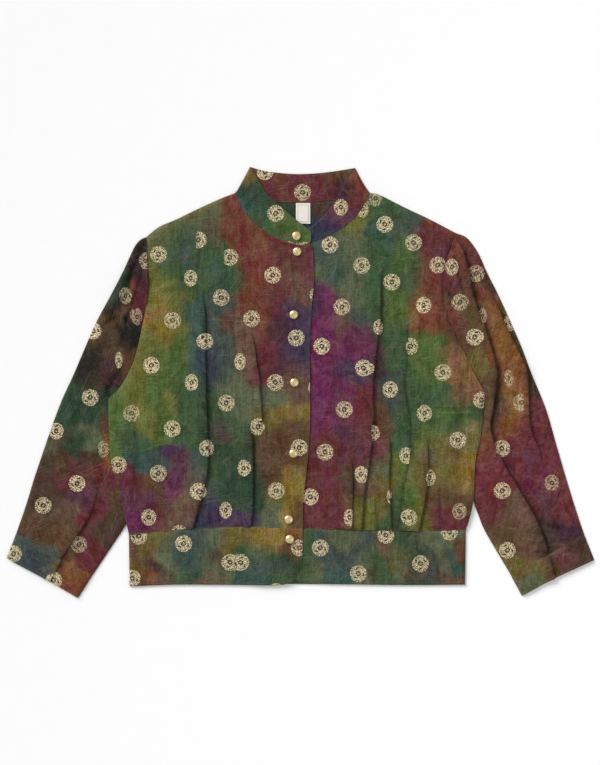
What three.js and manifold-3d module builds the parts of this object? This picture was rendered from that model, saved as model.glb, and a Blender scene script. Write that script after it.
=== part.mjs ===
// A woman's blouse with a stand collar, gathered sleeve heads, cuffs and a deep
// waistband, buttoned down the front and laid out flat with its front upwards.
// Millimetres. X runs across the blouse, Y from hem to collar and Z up. The
// origin is on the table under the middle of the outline. Names say the wearer's
// right and left, so the right front, which laps over the left, is at low X.
import * as THREE from "three";
import { mergeVertices } from "three/addons/utils/BufferGeometryUtils.js";
import Module from "manifold-3d";

const wasm = await Module();
wasm.setup();

// Driving dimensions
const cloth = 1.0; // wall of one layer
const doubled = 1.6; // wall of the collar, waistband and cuffs, cut double
const layerGap = 0.4; // air between layers that lie on each other
const seamGap = 0.3; // between pieces that meet at a seam
const cuffDepth = 40;
const slitWidth = 1.2;
const slitRun = 22; // how far each cuff slit runs on into its sleeve
const labelWidth = 21.5;
const labelLength = 31;
const buttonRadius = 6.75;
const buttonRim = 1.2;
const buttonHeight = 4.6;
const shankRadius = 1.5;
const holeWidth = 3.6;

// Heights of the layers above the table
const frontBase = cloth + layerGap;
const lapBase = frontBase + doubled + layerGap; // right front where it laps
const bandBase = doubled + layerGap; // left front waistband, and the collar's front
const bandLapBase = 2 * bandBase; // right waistband and collar end where they lap
const sleeveFlat = 2 * cloth + layerGap;
const tuckRise = sleeveFlat + layerGap; // body where a sleeve is folded under it
const cuffFlat = 2 * doubled + layerGap;
const high = 60; // above everything
const edgeStep = 13; // length of the straight runs that curved edges are made of

// Outlines: points along each edge, in order from one corner to the next.
// Right side, from the waist seam up to the underarm
const rightSide = [[-257, -227], [-262, -205], [-271, -163], [-281, -131], [-286, -95], [-288, -25]];
const rightArmholeLow = [[-288, -25], [-271, -8], [-260, 10], [-248, 37], [-239, 74]];
const rightArmholeHigh = [[-239, 74], [-232, 109], [-229, 139], [-229, 169], [-231, 218]];
const rightShoulder = [[-231, 218], [-212, 233], [-187, 244], [-154, 260], [-121, 275], [-98, 284]];
const rightNeck = [
  [-98, 284], [-90, 265], [-78, 247], [-64, 234], [-45, 221], [-24, 212], [-2, 206], [12, 208],
];
const rightEdge = [
  [12, 208], [18, 202], [20, 154], [17, 115], [14, 46], [14, -71], [8, -142], [4, -177],
  [3.5, -219],
];

const leftSide = [[276, -16], [274, -45], [270, -80], [262, -119], [259, -176], [252, -209], [248, -219]];
const leftArmholeLow = [[231, 72], [246, 44], [259, 16], [271, -6], [276, -16]];
const leftArmholeHigh = [[233, 224], [226, 204], [218, 179], [214, 149], [216, 116], [222, 89], [231, 72]];
const leftShoulder = [[104, 284], [119, 281], [157, 262], [195, 244], [233, 224]];
const leftNeck = [
  [-26, 213], [-14, 209], [0, 208], [17, 210], [34, 215], [53, 225], [69, 235], [84, 249],
  [96, 267], [104, 284],
];
const leftEdge = [
  [-38.5, -218], [-38, -177], [-34, -142], [-28, -71], [-28, 46], [-25, 115], [-23, 190],
  [-26, 213],
];

const backNeck = [[104, 284], [80, 279], [50, 274], [4, 270], [-38, 271], [-70, 276], [-98, 284]];

// The waist seam from the left side seam to the right, in three runs
const waistLeft = [[248, -219], [240, -221], [148, -222], [60, -220], [3.5, -219]];
const waistLap = [[3.5, -219], [-38.5, -218]];
const waistRight = [[-38.5, -218], [-76, -216], [-130, -217], [-168, -219], [-212, -223], [-257, -227]];

const rightHem = [[-256, -305.5], [-189, -303], [-139, -303], [-43, -304]];
const rightCorner = [[-43, -304], [-24, -302.5], [-10, -296], [0, -277], [3.5, -259], [3.5, -219]];
const leftCorner = [
  [-38.5, -218], [-38, -259], [-32, -276], [-20, -289], [-6, -296.5], [9, -300], [44, -302],
];
const leftHem = [[44, -302], [150, -303.5], [247, -303]];
const rightBandSide = [[-257, -227], [-256, -305.5]];
const leftBandSide = [[247, -303], [248, -219]];
const backHem = [[-256, -305.5], [-189, -303], [-139, -303], [0, -302], [150, -303.5], [247, -303]];

const collarBackTop = [
  [82, 321.5], [60, 318], [34, 314.5], [3, 312.5], [-24, 313.5], [-52, 317], [-75.5, 323],
];
const collarRightFold = [[-75.5, 323], [-84, 307], [-94, 289], [-98, 284]];
const collarLeftFold = [[104, 284], [93, 300.5], [82, 321.5]];
const collarRightTop = [
  [16, 219], [15.5, 225], [7, 233.5], [-9, 245.5], [-24, 259], [-38, 271], [-52, 285], [-64, 306],
  [-75.5, 323],
];
const collarRightTip = [[12, 208], [15.5, 212], [16, 219]];
const collarLeftTop = [
  [82, 321.5], [67, 299], [55, 278], [40, 256], [29, 245], [17, 235], [4, 229], [-13, 226],
  [-22, 221],
];
const collarLeftTip = [[-22, 221], [-26, 217], [-26, 213]];

const rightSleeveOuter = [
  [-231, 218], [-239.5, 214], [-247.5, 205], [-255.5, 189], [-267, 164], [-285, 129.5], [-308, 86],
  [-340, 12], [-363, -40], [-395.5, -133], [-411, -183], [-426, -226.5],
];
const rightCuffSeam = [[-426, -226.5], [-365, -262], [-311.5, -289]];
const rightSleeveInner = [
  [-311.5, -289], [-283.5, -247], [-261, -212], [-248, -180], [-241, -130], [-238, -85],
  [-236, -30], [-236, 30], [-239, 74],
];
const rightCuffOuter = [[-426, -226.5], [-440.5, -263.5]];
const rightCuffEnd = [[-440.5, -263.5], [-378, -297], [-333, -323]];
const rightCuffInner = [[-333, -323], [-311.5, -289]];
const leftSleeveOuter = [
  [425, -227], [412, -188], [399, -146], [383.5, -93], [368, -40], [347, 12], [331, 54],
  [310, 102], [294, 136.5], [280, 164], [269, 189], [259.5, 205], [248, 218], [233, 224],
];
const leftCuffSeam = [[313, -284.5], [366, -261], [425, -227]];
const leftSleeveInner = [
  [231, 72], [231, 20], [235, -50], [241, -95], [249, -140], [259, -176.5], [267, -199],
  [278, -225], [313, -284.5],
];
const leftCuffOuter = [[440.5, -266], [425, -227]];
const leftCuffEnd = [[332, -320], [379, -294.5], [440.5, -266]];
const leftCuffInner = [[313, -284.5], [332, -320]];

// Stitched tucks in the fronts: the line of each fold from top to bottom, the
// side towards which the upper layer lies, and its height at the waist seam.
const tucks = [
  {
    line: [[-148, 160], [-146, 44], [-142, -26], [-142, -119], [-150, -165], [-164, -218]],
    side: -1,
    height: 2.4,
  },
  { line: [[-76, -60], [-74, -110], [-74, -184], [-78, -217]], side: -1, height: 2.2 },
  { line: [[-72, 82], [-70, 38], [-64, 4], [-59, -86]], side: -1, height: 2.0, ends: true },
  { line: [[76, -100], [75, -180], [74, -220]], side: -1, height: 1.8 },
  {
    line: [
      [128, 185], [117, 146], [118, 94], [108, 16], [105, -26], [101, -120], [93, -160], [91, -220],
    ],
    side: -1,
    height: 2.4,
  },
  { line: [[138, -60], [132, -127], [134, -220]], side: -1, height: 2.0 },
  {
    line: [[163, 110], [164, 38], [160, -7], [169, -56], [166, -121], [157, -181], [150, -221]],
    side: 1,
    height: 2.4,
  },
  { line: [[188, -60], [186, -150], [180, -221]], side: -1, height: 2.0 },
];
// Soft folds: the two ends of each ridge, its half width and its height.
const bodyFolds = [
  { from: [-210, 120], to: [-190, -150], half: 42, height: 1.5 },
  { from: [-120, 180], to: [-125, -20], half: 30, height: 1.3 },
  { from: [-225, -60], to: [-215, -200], half: 30, height: 1.2 },
  { from: [-110, -120], to: [-118, -205], half: 18, height: 1.4 },
  { from: [60, 190], to: [75, 20], half: 34, height: 1.3 },
  { from: [185, 190], to: [200, 10], half: 40, height: 1.6 },
  { from: [225, -20], to: [218, -190], half: 34, height: 1.4 },
  { from: [50, -60], to: [48, -190], half: 24, height: 1.2 },
];
// Gathers and folds of each sleeve, from the head towards the cuff.
const rightSleeveFolds = [
  { from: [-238, 205], to: [-268, 60], half: 13, height: 3.2 },
  { from: [-250, 180], to: [-330, 0], half: 24, height: 2.6 },
  { from: [-242, 120], to: [-292, -20], half: 14, height: 2.6 },
  { from: [-340, -30], to: [-372, -170], half: 34, height: 2.2 },
  { from: [-300, -60], to: [-318, -200], half: 22, height: 2.4 },
  { from: [-395, -190], to: [-372, -262], half: 22, height: 1.6 },
  { from: [-335, -215], to: [-342, -268], half: 18, height: 1.8 },
];
const leftSleeveFolds = [
  { from: [238, 210], to: [282, 40], half: 13, height: 3.2 },
  { from: [250, 195], to: [320, 10], half: 20, height: 3.0 },
  { from: [224, 140], to: [262, 40], half: 16, height: 2.2 },
  { from: [300, -20], to: [345, -170], half: 24, height: 2.6 },
  { from: [352, -30], to: [386, -170], half: 26, height: 2.2 },
  { from: [288, -150], to: [312, -225], half: 20, height: 1.8 },
  { from: [372, -205], to: [384, -240], half: 20, height: 1.6 },
];
// Cuff slits: from the cuff's end up into the sleeve.
const rightSlit = [[-377, -299], [-350, -242]];
const leftSlit = [[380, -297], [360, -238]];

// Buttons: centre, the piece that each one is on, and how far its hole runs out
// to low X from under it.
const buttons = [
  { name: "collar", x: -6, y: 219.5, on: "collar", holeRun: 17 },
  { name: "1", x: -5, y: 196, on: "front", holeRun: 10 },
  { name: "2", x: -10, y: 101.5, on: "front", holeRun: 10 },
  { name: "3", x: -9, y: 0, on: "front", holeRun: 10 },
  { name: "4", x: -10.5, y: -106, on: "front", holeRun: 10 },
  { name: "5", x: -17.5, y: -205, on: "front", holeRun: 10 },
  { name: "6", x: -16, y: -234.5, on: "band", holeRun: 10 },
];
const holeEnd = 3.2; // how far a buttonhole runs on past the middle of its button

// Helpers
const clamp01 = (v) => Math.min(1, Math.max(0, v));

function ease(from, to, v) {
  const t = clamp01((v - from) / (to - from));
  return t * t * (3 - 2 * t);
}

// Distance from a point to a segment, and how far along the segment that is.
function toSegment(x, y, [ax, ay], [bx, by]) {
  const dx = bx - ax;
  const dy = by - ay;
  const along = clamp01(((x - ax) * dx + (y - ay) * dy) / (dx * dx + dy * dy));
  return { away: Math.hypot(x - ax - along * dx, y - ay - along * dy), along };
}

function manifoldOf(geometry) {
  const bare = new THREE.BufferGeometry();
  bare.setAttribute("position", geometry.getAttribute("position"));
  bare.setIndex(geometry.index);
  const merged = mergeVertices(bare, 1e-4);
  return new wasm.Manifold(new wasm.Mesh({
    numProp: 3,
    vertProperties: new Float32Array(merged.attributes.position.array),
    triVerts: new Uint32Array(merged.index.array),
  }));
}

function geometryOf(solid) {
  const mesh = solid.getMesh();
  const geometry = new THREE.BufferGeometry();
  geometry.setAttribute("position", new THREE.BufferAttribute(mesh.vertProperties, 3));
  geometry.setIndex(new THREE.BufferAttribute(mesh.triVerts, 1));
  geometry.computeVertexNormals();
  return geometry;
}

// A smooth curve through an edge's points. Edges that two pieces share are
// sampled alike, so that the gap between them stays even.
function sampled(points) {
  if (points.length === 2) return points.map(([x, y]) => new THREE.Vector2(x, y));
  const curve = new THREE.SplineCurve(points.map(([x, y]) => new THREE.Vector2(x, y)));
  return curve.getSpacedPoints(Math.max(2, Math.round(curve.getLength() / edgeStep)));
}

// The outline made of several edges, each moved inwards by its own distance.
function outline(edges) {
  const sides = [];
  for (const { points, inset } of edges) {
    const line = sampled(points);
    for (let i = 1; i < line.length; i += 1) {
      if (line[i].distanceTo(line[i - 1]) > 0.01) sides.push({ a: line[i - 1], b: line[i], inset });
    }
  }
  const area = sides.reduce((sum, { a, b }) => sum + a.x * b.y - b.x * a.y, 0);
  const turn = Math.sign(area);
  for (const side of sides) {
    const way = side.b.clone().sub(side.a).normalize();
    side.way = way;
    side.shift = new THREE.Vector2(-way.y, way.x).multiplyScalar(turn * side.inset);
  }
  const points = [];
  sides.forEach((side, i) => {
    const last = sides[(i + sides.length - 1) % sides.length];
    const p = last.b.clone().add(last.shift);
    const q = side.a.clone().add(side.shift);
    const turned = last.way.cross(side.way);
    if (last.inset === side.inset) {
      const share = 1 / (1 + last.way.dot(side.way));
      points.push(side.a.clone().addScaledVector(last.shift, share).addScaledVector(side.shift, share));
    } else if (Math.abs(turned) < 0.12) {
      points.push(p, q);
    } else {
      const along = q.clone().sub(p).cross(side.way) / turned;
      points.push(p.addScaledVector(last.way, along));
    }
  });
  return turn < 0 ? points.reverse() : points;
}

function prism(points, low = -high, top = high) {
  const geometry = new THREE.ExtrudeGeometry(new THREE.Shape(points), {
    depth: top - low,
    bevelEnabled: false,
    steps: 1,
  });
  geometry.translate(0, 0, low);
  return manifoldOf(geometry);
}

// A slab between two heights, over a net of plan points net[row][column].
function slab(net, low, top) {
  const rows = net.length;
  const columns = net[0].length;
  const corners = [];
  const faces = [];
  for (const height of [low, top]) {
    for (const row of net) {
      for (const [x, y] of row) corners.push(x, y, height(x, y));
    }
  }
  const at = (layer, row, column) => layer * rows * columns + row * columns + column;
  const quad = (a, b, c, d) => faces.push(a, b, c, a, c, d);
  for (let j = 0; j + 1 < rows; j += 1) {
    for (let i = 0; i + 1 < columns; i += 1) {
      quad(at(1, j, i), at(1, j, i + 1), at(1, j + 1, i + 1), at(1, j + 1, i));
      faces.push(at(0, j, i), at(0, j + 1, i + 1), at(0, j, i + 1));
      faces.push(at(0, j, i), at(0, j + 1, i), at(0, j + 1, i + 1));
    }
  }
  for (let i = 0; i + 1 < columns; i += 1) {
    quad(at(0, 0, i), at(0, 0, i + 1), at(1, 0, i + 1), at(1, 0, i));
    quad(at(0, rows - 1, i + 1), at(0, rows - 1, i), at(1, rows - 1, i), at(1, rows - 1, i + 1));
  }
  const end = columns - 1;
  for (let j = 0; j + 1 < rows; j += 1) {
    quad(at(0, j + 1, 0), at(0, j, 0), at(1, j, 0), at(1, j + 1, 0));
    quad(at(0, j, end), at(0, j + 1, end), at(1, j + 1, end), at(1, j, end));
  }
  const geometry = new THREE.BufferGeometry();
  geometry.setAttribute("position", new THREE.BufferAttribute(new Float32Array(corners), 3));
  geometry.setIndex(faces);
  return manifoldOf(geometry);
}

// Body net: columns that follow the tucks, shared by every layer of the body so
// that layers on each other never cross.
const bodyBottom = -232;
const bodyTop = 296;
const bodyRows = 19;
const tuckHalf = 1.6;
const sideColumns = [300, 284, 268, 254, 240, 226, 212];
const centreColumns = [-40, -14, 14, 44];

// Where a tuck's line is at a height, going straight on past its ends.
function tuckAt(line, y) {
  if (y >= line[0][1]) return line[0][0];
  for (let i = 1; i < line.length; i += 1) {
    const [x0, y0] = line[i - 1];
    const [x1, y1] = line[i];
    if (y >= y1) return x1 + ((x0 - x1) * (y - y1)) / (y0 - y1);
  }
  return line[line.length - 1][0];
}

// So many columns between two others, all the same distance apart.
function between(low, up, count) {
  return Array.from({ length: count }, (_, i) => low + ((up - low) * (i + 1)) / (count + 1));
}

function bodyNet() {
  const rows = [];
  for (let j = 0; j <= bodyRows; j += 1) {
    const y = bodyBottom + ((bodyTop - bodyBottom) * j) / bodyRows;
    const at = tucks.map(({ line }) => tuckAt(line, y));
    const pair = (x) => [x - tuckHalf, x + tuckHalf];
    const xs = [...sideColumns.map((x) => -x), -188];
    xs.push(...pair(at[0]), ...between(at[0], at[1], 2), ...pair(at[1]));
    const third = Math.max(at[2], at[1] + 6);
    xs.push(...pair(third), ...centreColumns, ...pair(at[3]));
    const fifth = Math.max(at[4], at[3] + 6);
    xs.push(...pair(fifth), ...pair(Math.max(at[5], fifth + 6)));
    xs.push(...pair(Math.max(at[6], at[5] + 8)), ...pair(at[7]));
    xs.push(...[...sideColumns].reverse());
    rows.push(xs.map((x) => [x, y]));
  }
  return rows;
}

// Height that a sleeve folded under the body lifts it by. The sleeve's inner
// edge is its boundary; the lift is full well past it, so that no facet dips.
function lift(x, y) {
  const right = tuckAt([...rightSleeveInner].reverse(), y);
  const left = tuckAt(leftSleeveInner, y);
  const topFade = ease(122, 98, y);
  const rightLift = ease(38, 15, x - right);
  const leftLift = ease(38, 15, left - x);
  return tuckRise * Math.max(rightLift, leftLift) * topFade;
}

function ridge({ from, to, half, height }, x, y) {
  const { away, along } = toSegment(x, y, from, to);
  const across = Math.cos((Math.PI / 2) * clamp01(away / half)) ** 2;
  return height * across * Math.sin(Math.PI * (0.12 + 0.76 * along));
}

const tuckReach = 26;

function tuckHeight({ line, side, height, ends }, x, y) {
  const top = line[0][1];
  const bottom = line[line.length - 1][1];
  const grown = ease(top, top - 120, y) * (ends ? ease(bottom, bottom + 30, y) : 1);
  const off = (x - tuckAt(line, y)) * side;
  return off < 0 ? 0 : height * grown * clamp01(1 - (off - tuckHalf) / tuckReach);
}

const plain = [-46, 24]; // strip down the front that stays level for the buttons

function loft(x, y) {
  const folded = Math.max(...tucks.map((t) => tuckHeight(t, x, y)), 0);
  const soft = Math.max(...bodyFolds.map((f) => ridge(f, x, y)), 0);
  const level = Math.max(ease(plain[0], plain[0] - 16, x), ease(plain[1], plain[1] + 16, x));
  return Math.max(folded, soft) * level;
}

const backLow = (x, y) => lift(x, y);
const frontLow = (x, y) => backLow(x, y) + frontBase + loft(x, y);
const lap = (x, from = -78, to = -50) => ease(from, to, x);
const rightFrontLow = (x, y) => frontLow(x, y) + (lapBase - frontBase) * lap(x);

const half = seamGap / 2;
const seam = (points) => ({ points, inset: half });
const free = (points) => ({ points, inset: 0 });

const net = bodyNet();
// The back is level between its sides, so its net needs only those columns.
const sides = sideColumns.length + 1;
const backNet = net.map((row) => [...row.slice(0, sides), ...row.slice(-sides)]);

function panel(edges, low, mesh = net) {
  return slab(mesh, low, (x, y) => low(x, y) + cloth).intersect(prism(outline(edges)));
}

// Buttonholes
function holeAt({ x, y, holeRun }) {
  const w = holeWidth / 2;
  return prism([
    new THREE.Vector2(x - holeRun, y - w),
    new THREE.Vector2(x + holeEnd, y - w),
    new THREE.Vector2(x + holeEnd, y + w),
    new THREE.Vector2(x - holeRun, y + w),
  ]);
}

function withHoles(solid, piece) {
  return buttons.filter((b) => b.on === piece).reduce((s, b) => s.subtract(holeAt(b)), solid);
}

const bodyBack = panel([
  seam(rightSide), seam(rightArmholeLow), seam(rightArmholeHigh), seam(rightShoulder),
  seam([...backNeck].reverse()), seam(leftShoulder), seam(leftArmholeHigh), seam(leftArmholeLow),
  seam(leftSide), seam(waistLeft), seam(waistLap), seam(waistRight),
], backLow, backNet);

const frontRight = withHoles(panel([
  seam(rightSide), seam(rightArmholeLow), seam(rightArmholeHigh), seam(rightShoulder),
  seam(rightNeck), free(rightEdge), seam(waistLap), seam(waistRight),
], rightFrontLow), "front");

const frontLeft = panel([
  free(leftEdge), seam(leftNeck), seam(leftShoulder), seam(leftArmholeHigh), seam(leftArmholeLow),
  seam(leftSide), seam(waistLeft), seam(waistLap),
], frontLow);

// Waistband
const bandWaves = [
  { from: [-200, -230], to: [-195, -300], half: 34, height: 0.9 },
  { from: [-110, -230], to: [-118, -300], half: 30, height: 1.1 },
  { from: [90, -230], to: [100, -300], half: 30, height: 1.0 },
  { from: [175, -230], to: [168, -300], half: 32, height: 1.0 },
];
const bandNet = [-316, -297, -272, -246, -206].map((y) => (
  [-280, ...Array.from({ length: 26 }, (_, i) => -260 + 20 * i), 262, 280].map((x) => [x, y])
));
const wave = (x, y) => Math.max(...bandWaves.map((f) => ridge(f, x, y)), 0) * ease(-232, -240, y);

function band(edges, low) {
  return slab(bandNet, low, (x, y) => low(x, y) + doubled).intersect(prism(outline(edges)));
}

const bandBack = band([
  seam([...waistRight].reverse()), seam([...waistLap].reverse()), seam([...waistLeft].reverse()),
  free([...leftBandSide].reverse()), free([...backHem].reverse()), free([...rightBandSide].reverse()),
], () => 0);
const bandRight = withHoles(band([
  seam([...waistRight].reverse()), seam([...waistLap].reverse()), free([...rightCorner].reverse()),
  free([...rightHem].reverse()), free([...rightBandSide].reverse()),
], (x, y) => bandBase + (bandLapBase - bandBase) * lap(x, -84, -56) + wave(x, y)), "band");
const bandLeft = band([
  seam([...waistLap].reverse()), seam([...waistLeft].reverse()), free([...leftBandSide].reverse()),
  free([...leftHem].reverse()), free([...leftCorner].reverse()),
], (x, y) => bandBase + wave(x, y));

// Collar: one band, folded at both sides of the neck
const collarNet = [198, 334].map((y) => Array.from({ length: 23 }, (_, i) => [-110 + 10 * i, y]));
const collarLeftLow = (x) => frontBase + (bandBase - frontBase) * ease(40, 62, x);
const collarRightLow = (x) => bandBase + (bandLapBase - bandBase) * ease(-64, -36, x);

function collarPart(edges, low) {
  return slab(collarNet, low, (x, y) => low(x, y) + doubled).intersect(prism(outline(edges)));
}

// The fold between the collar's back and one of its fronts, as a strip of wall
function foldWall(points, inwards) {
  const line = sampled(points);
  const inner = line.map((p) => p.clone().add(new THREE.Vector2(inwards * doubled, -0.4)));
  return prism([...line, ...inner.reverse()], 0, bandBase + doubled);
}

const collarBack = collarPart([
  free(collarBackTop), free(collarRightFold), seam([...backNeck].reverse()), free(collarLeftFold),
], () => 0);
const collarRight = collarPart([
  free(collarRightTip), free(collarRightTop), free(collarRightFold), seam(rightNeck),
], collarRightLow);
const collarLeft = collarPart([
  free(collarLeftTop), free(collarLeftTip), seam(leftNeck), free(collarLeftFold),
], collarLeftLow);
const neckClear = prism(outline([
  seam(rightShoulder.slice(-2)), seam(rightNeck), seam(leftNeck.slice(3)), seam(leftShoulder),
  free([[233, 224], [233, 340], [-231, 340], [-121, 275]]),
]));
const collar = withHoles(
  collarBack
    .add(collarRight)
    .add(collarLeft)
    .add(foldWall(collarRightFold, 1).intersect(neckClear))
    .add(foldWall(collarLeftFold, -1).intersect(neckClear)),
  "collar",
);

// Sleeves and cuffs: flattened tubes, open at both ends
function tubeNet(origin, angle, columns, rows, across, along) {
  const side = [Math.cos(angle), Math.sin(angle)];
  const down = [Math.sin(angle), -Math.cos(angle)];
  return Array.from({ length: rows + 1 }, (_, j) => (
    Array.from({ length: columns + 1 }, (__, i) => {
      const s = across[0] + ((across[1] - across[0]) * i) / columns;
      const t = along[1] - ((along[1] - along[0]) * j) / rows;
      return [origin[0] + side[0] * s + down[0] * t, origin[1] + side[1] * s + down[1] * t];
    })
  ));
}

// Distance to the nearest of some edges, for rounding a tube down to its folds.
function edgeDistance(lines, x, y) {
  let least = Infinity;
  for (const line of lines) {
    for (let i = 1; i < line.length; i += 1) {
      least = Math.min(least, toSegment(x, y, line[i - 1], line[i]).away);
    }
  }
  return least;
}

const edgeFade = 14;

function tube(tubeMesh, { outer, inner, ends, wall, flat, folds, hidden }) {
  const height = (x, y) => {
    const raised = Math.max(...folds.map((f) => ridge(f, x, y)), 0);
    return flat + raised * ease(0, edgeFade, edgeDistance([outer, inner], x, y)) * (1 - hidden(x, y));
  };
  const shape = (wallInset, endInset) => outline([
    { points: outer, inset: wallInset },
    { points: ends[0], inset: endInset },
    { points: inner, inset: wallInset },
    { points: ends[1], inset: endInset },
  ]);
  const whole = slab(tubeMesh, () => 0, height).intersect(prism(shape(0, half)));
  const inside = slab(tubeMesh, () => wall, (x, y) => height(x, y) - wall)
    .intersect(prism(shape(wall, -4)));
  return whole.subtract(inside);
}

// The slit at a cuff, cut through the upper wall alone
function slit([[x0, y0], [x1, y1]], floor) {
  const way = new THREE.Vector2(x1 - x0, y1 - y0).normalize();
  const side = new THREE.Vector2(-way.y, way.x).multiplyScalar(slitWidth / 2);
  const low = new THREE.Vector2(x0, y0).addScaledVector(way, -8);
  const top = new THREE.Vector2(x1, y1);
  return prism([
    low.clone().sub(side), low.clone().add(side), top.clone().add(side), top.clone().sub(side),
  ], floor, high);
}

// Where the body lies on the sleeve, which is pressed flat there.
const underBody = (side, line) => (x, y) => (
  ease(96, 84, y) * ease(-26, -8, side * (x - tuckAt(line, y)))
);
const rightBoundary = [...rightArmholeLow].reverse().concat([...rightSide].reverse().slice(1));
const leftBoundary = leftArmholeLow.concat(leftSide.slice(1));

const sleeveTilt = 0.285; // radians that each sleeve leans out from straight down
const rightSleeveNet = tubeNet([-232, 218], -sleeveTilt, 14, 17, [-76, 110], [-30, 580]);
const leftSleeveNet = tubeNet([232, 224], sleeveTilt, 14, 17, [-110, 76], [-30, 580]);
const neverHidden = () => 0;

const sleeveRight = tube(rightSleeveNet, {
  outer: rightSleeveOuter,
  inner: rightSleeveInner,
  ends: [rightCuffSeam, rightArmholeHigh],
  wall: cloth,
  flat: sleeveFlat,
  folds: rightSleeveFolds,
  hidden: underBody(1, rightBoundary),
}).subtract(slit(rightSlit, cloth + layerGap / 2));
const sleeveLeft = tube(leftSleeveNet, {
  outer: [...leftSleeveOuter].reverse(),
  inner: [...leftSleeveInner].reverse(),
  ends: [[...leftCuffSeam].reverse(), [...leftArmholeHigh].reverse()],
  wall: cloth,
  flat: sleeveFlat,
  folds: leftSleeveFolds,
  hidden: underBody(-1, leftBoundary),
}).subtract(slit(leftSlit, cloth + layerGap / 2));
const cuffRight = tube(rightSleeveNet, {
  outer: rightCuffOuter,
  inner: rightCuffInner,
  ends: [rightCuffEnd, [...rightCuffSeam].reverse()],
  wall: doubled,
  flat: cuffFlat,
  folds: [],
  hidden: neverHidden,
}).subtract(slit(rightSlit, doubled + layerGap / 2));
const cuffLeft = tube(leftSleeveNet, {
  outer: [...leftCuffOuter].reverse(),
  inner: [...leftCuffInner].reverse(),
  ends: [[...leftCuffEnd].reverse(), leftCuffSeam],
  wall: doubled,
  flat: cuffFlat,
  folds: [],
  hidden: neverHidden,
}).subtract(slit(leftSlit, doubled + layerGap / 2));

// Neck label, sewn in under the collar seam
const labelTop = 269;
const labelMiddle = 4;
const labelSides = [labelMiddle - labelWidth / 2, labelMiddle + labelWidth / 2];
const labelOutline = [
  new THREE.Vector2(labelSides[0], labelTop - labelLength),
  new THREE.Vector2(labelSides[1], labelTop - labelLength),
  new THREE.Vector2(labelSides[1], labelTop),
  new THREE.Vector2(labelSides[0], labelTop),
];
const neckLabel = prism(labelOutline, cloth + seamGap, 2 * cloth + seamGap);

// Domed shank button, turned about its own axis; low is where the shank ends and
// seat where the underside of its rim is.
function buttonGeometry(low, seat) {
  const profile = [
    new THREE.Vector2(0, low),
    new THREE.Vector2(shankRadius, low),
    new THREE.Vector2(shankRadius, seat),
    new THREE.Vector2(buttonRadius, seat),
    new THREE.Vector2(buttonRadius, seat + buttonRim),
  ];
  const domeSteps = 4;
  for (let i = 1; i < domeSteps; i += 1) {
    const a = (Math.PI / 2) * (i / domeSteps);
    profile.push(new THREE.Vector2(
      buttonRadius * Math.cos(a),
      seat + buttonRim + (buttonHeight - buttonRim) * Math.sin(a),
    ));
  }
  profile.push(new THREE.Vector2(0, seat + buttonHeight));
  const geometry = new THREE.LatheGeometry(profile, 18);
  geometry.rotateX(Math.PI / 2);
  return geometry;
}

const seats = {
  collar: { low: frontBase + doubled + seamGap, seat: bandLapBase + doubled + seamGap },
  front: { low: frontBase + cloth + seamGap, seat: lapBase + cloth + seamGap },
  band: { low: bandBase + doubled + seamGap, seat: bandLapBase + doubled + seamGap },
};

// Finishes
const finish = (color, roughness, metalness = 0) => (
  new THREE.MeshStandardMaterial({ color, roughness, metalness })
);
const frontCloth = finish(0x4a4a30, 0.85);
const backCloth = finish(0x474734, 0.85);
const sleeveCloth = finish(0x54392c, 0.85);
const bandCloth = finish(0x414a3c, 0.85);
const collarCloth = finish(0x3f4a33, 0.85);
const labelCloth = finish(0xe9e4dc, 0.7);
const brass = finish(0xd8c38a, 0.3, 0.9);

const blouse = new THREE.Group();

function add(name, geometry, material) {
  const mesh = new THREE.Mesh(geometry, material);
  mesh.name = name;
  blouse.add(mesh);
  return mesh;
}

add("body_back", geometryOf(bodyBack), backCloth);
add("front_right", geometryOf(frontRight), frontCloth);
add("front_left", geometryOf(frontLeft), frontCloth);
add("waistband_back", geometryOf(bandBack), bandCloth);
add("waistband_right", geometryOf(bandRight), bandCloth);
add("waistband_left", geometryOf(bandLeft), bandCloth);
add("collar", geometryOf(collar), collarCloth);
add("sleeve_right", geometryOf(sleeveRight), sleeveCloth);
add("sleeve_left", geometryOf(sleeveLeft), sleeveCloth);
add("cuff_right", geometryOf(cuffRight), sleeveCloth);
add("cuff_left", geometryOf(cuffLeft), sleeveCloth);
add("neck_label", geometryOf(neckLabel), labelCloth);
for (const { name, x, y, on } of buttons) {
  const { low, seat } = seats[on];
  add(`button_${name}`, buttonGeometry(low, seat), brass).position.set(x, y, 0);
}

export default blouse;
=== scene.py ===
import math
import random
import bpy
import numpy as np
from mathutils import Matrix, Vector, noise
from mathutils.geometry import delaunay_2d_cdt


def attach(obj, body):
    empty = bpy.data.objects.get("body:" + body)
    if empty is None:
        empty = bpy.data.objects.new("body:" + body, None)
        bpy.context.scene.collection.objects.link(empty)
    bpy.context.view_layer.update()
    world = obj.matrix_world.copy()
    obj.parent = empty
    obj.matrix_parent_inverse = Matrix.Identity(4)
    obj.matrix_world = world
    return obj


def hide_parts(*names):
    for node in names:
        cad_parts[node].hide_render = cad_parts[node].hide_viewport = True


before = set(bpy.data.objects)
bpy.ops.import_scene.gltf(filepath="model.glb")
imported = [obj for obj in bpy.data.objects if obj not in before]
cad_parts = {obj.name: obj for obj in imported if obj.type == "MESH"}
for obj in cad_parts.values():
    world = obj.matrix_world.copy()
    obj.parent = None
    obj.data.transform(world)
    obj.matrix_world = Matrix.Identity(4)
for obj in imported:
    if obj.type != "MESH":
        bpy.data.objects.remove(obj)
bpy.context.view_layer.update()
bpy.ops.object.select_all(action="DESELECT")
print("frame loaded:", len(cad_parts), "nodes")

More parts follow.
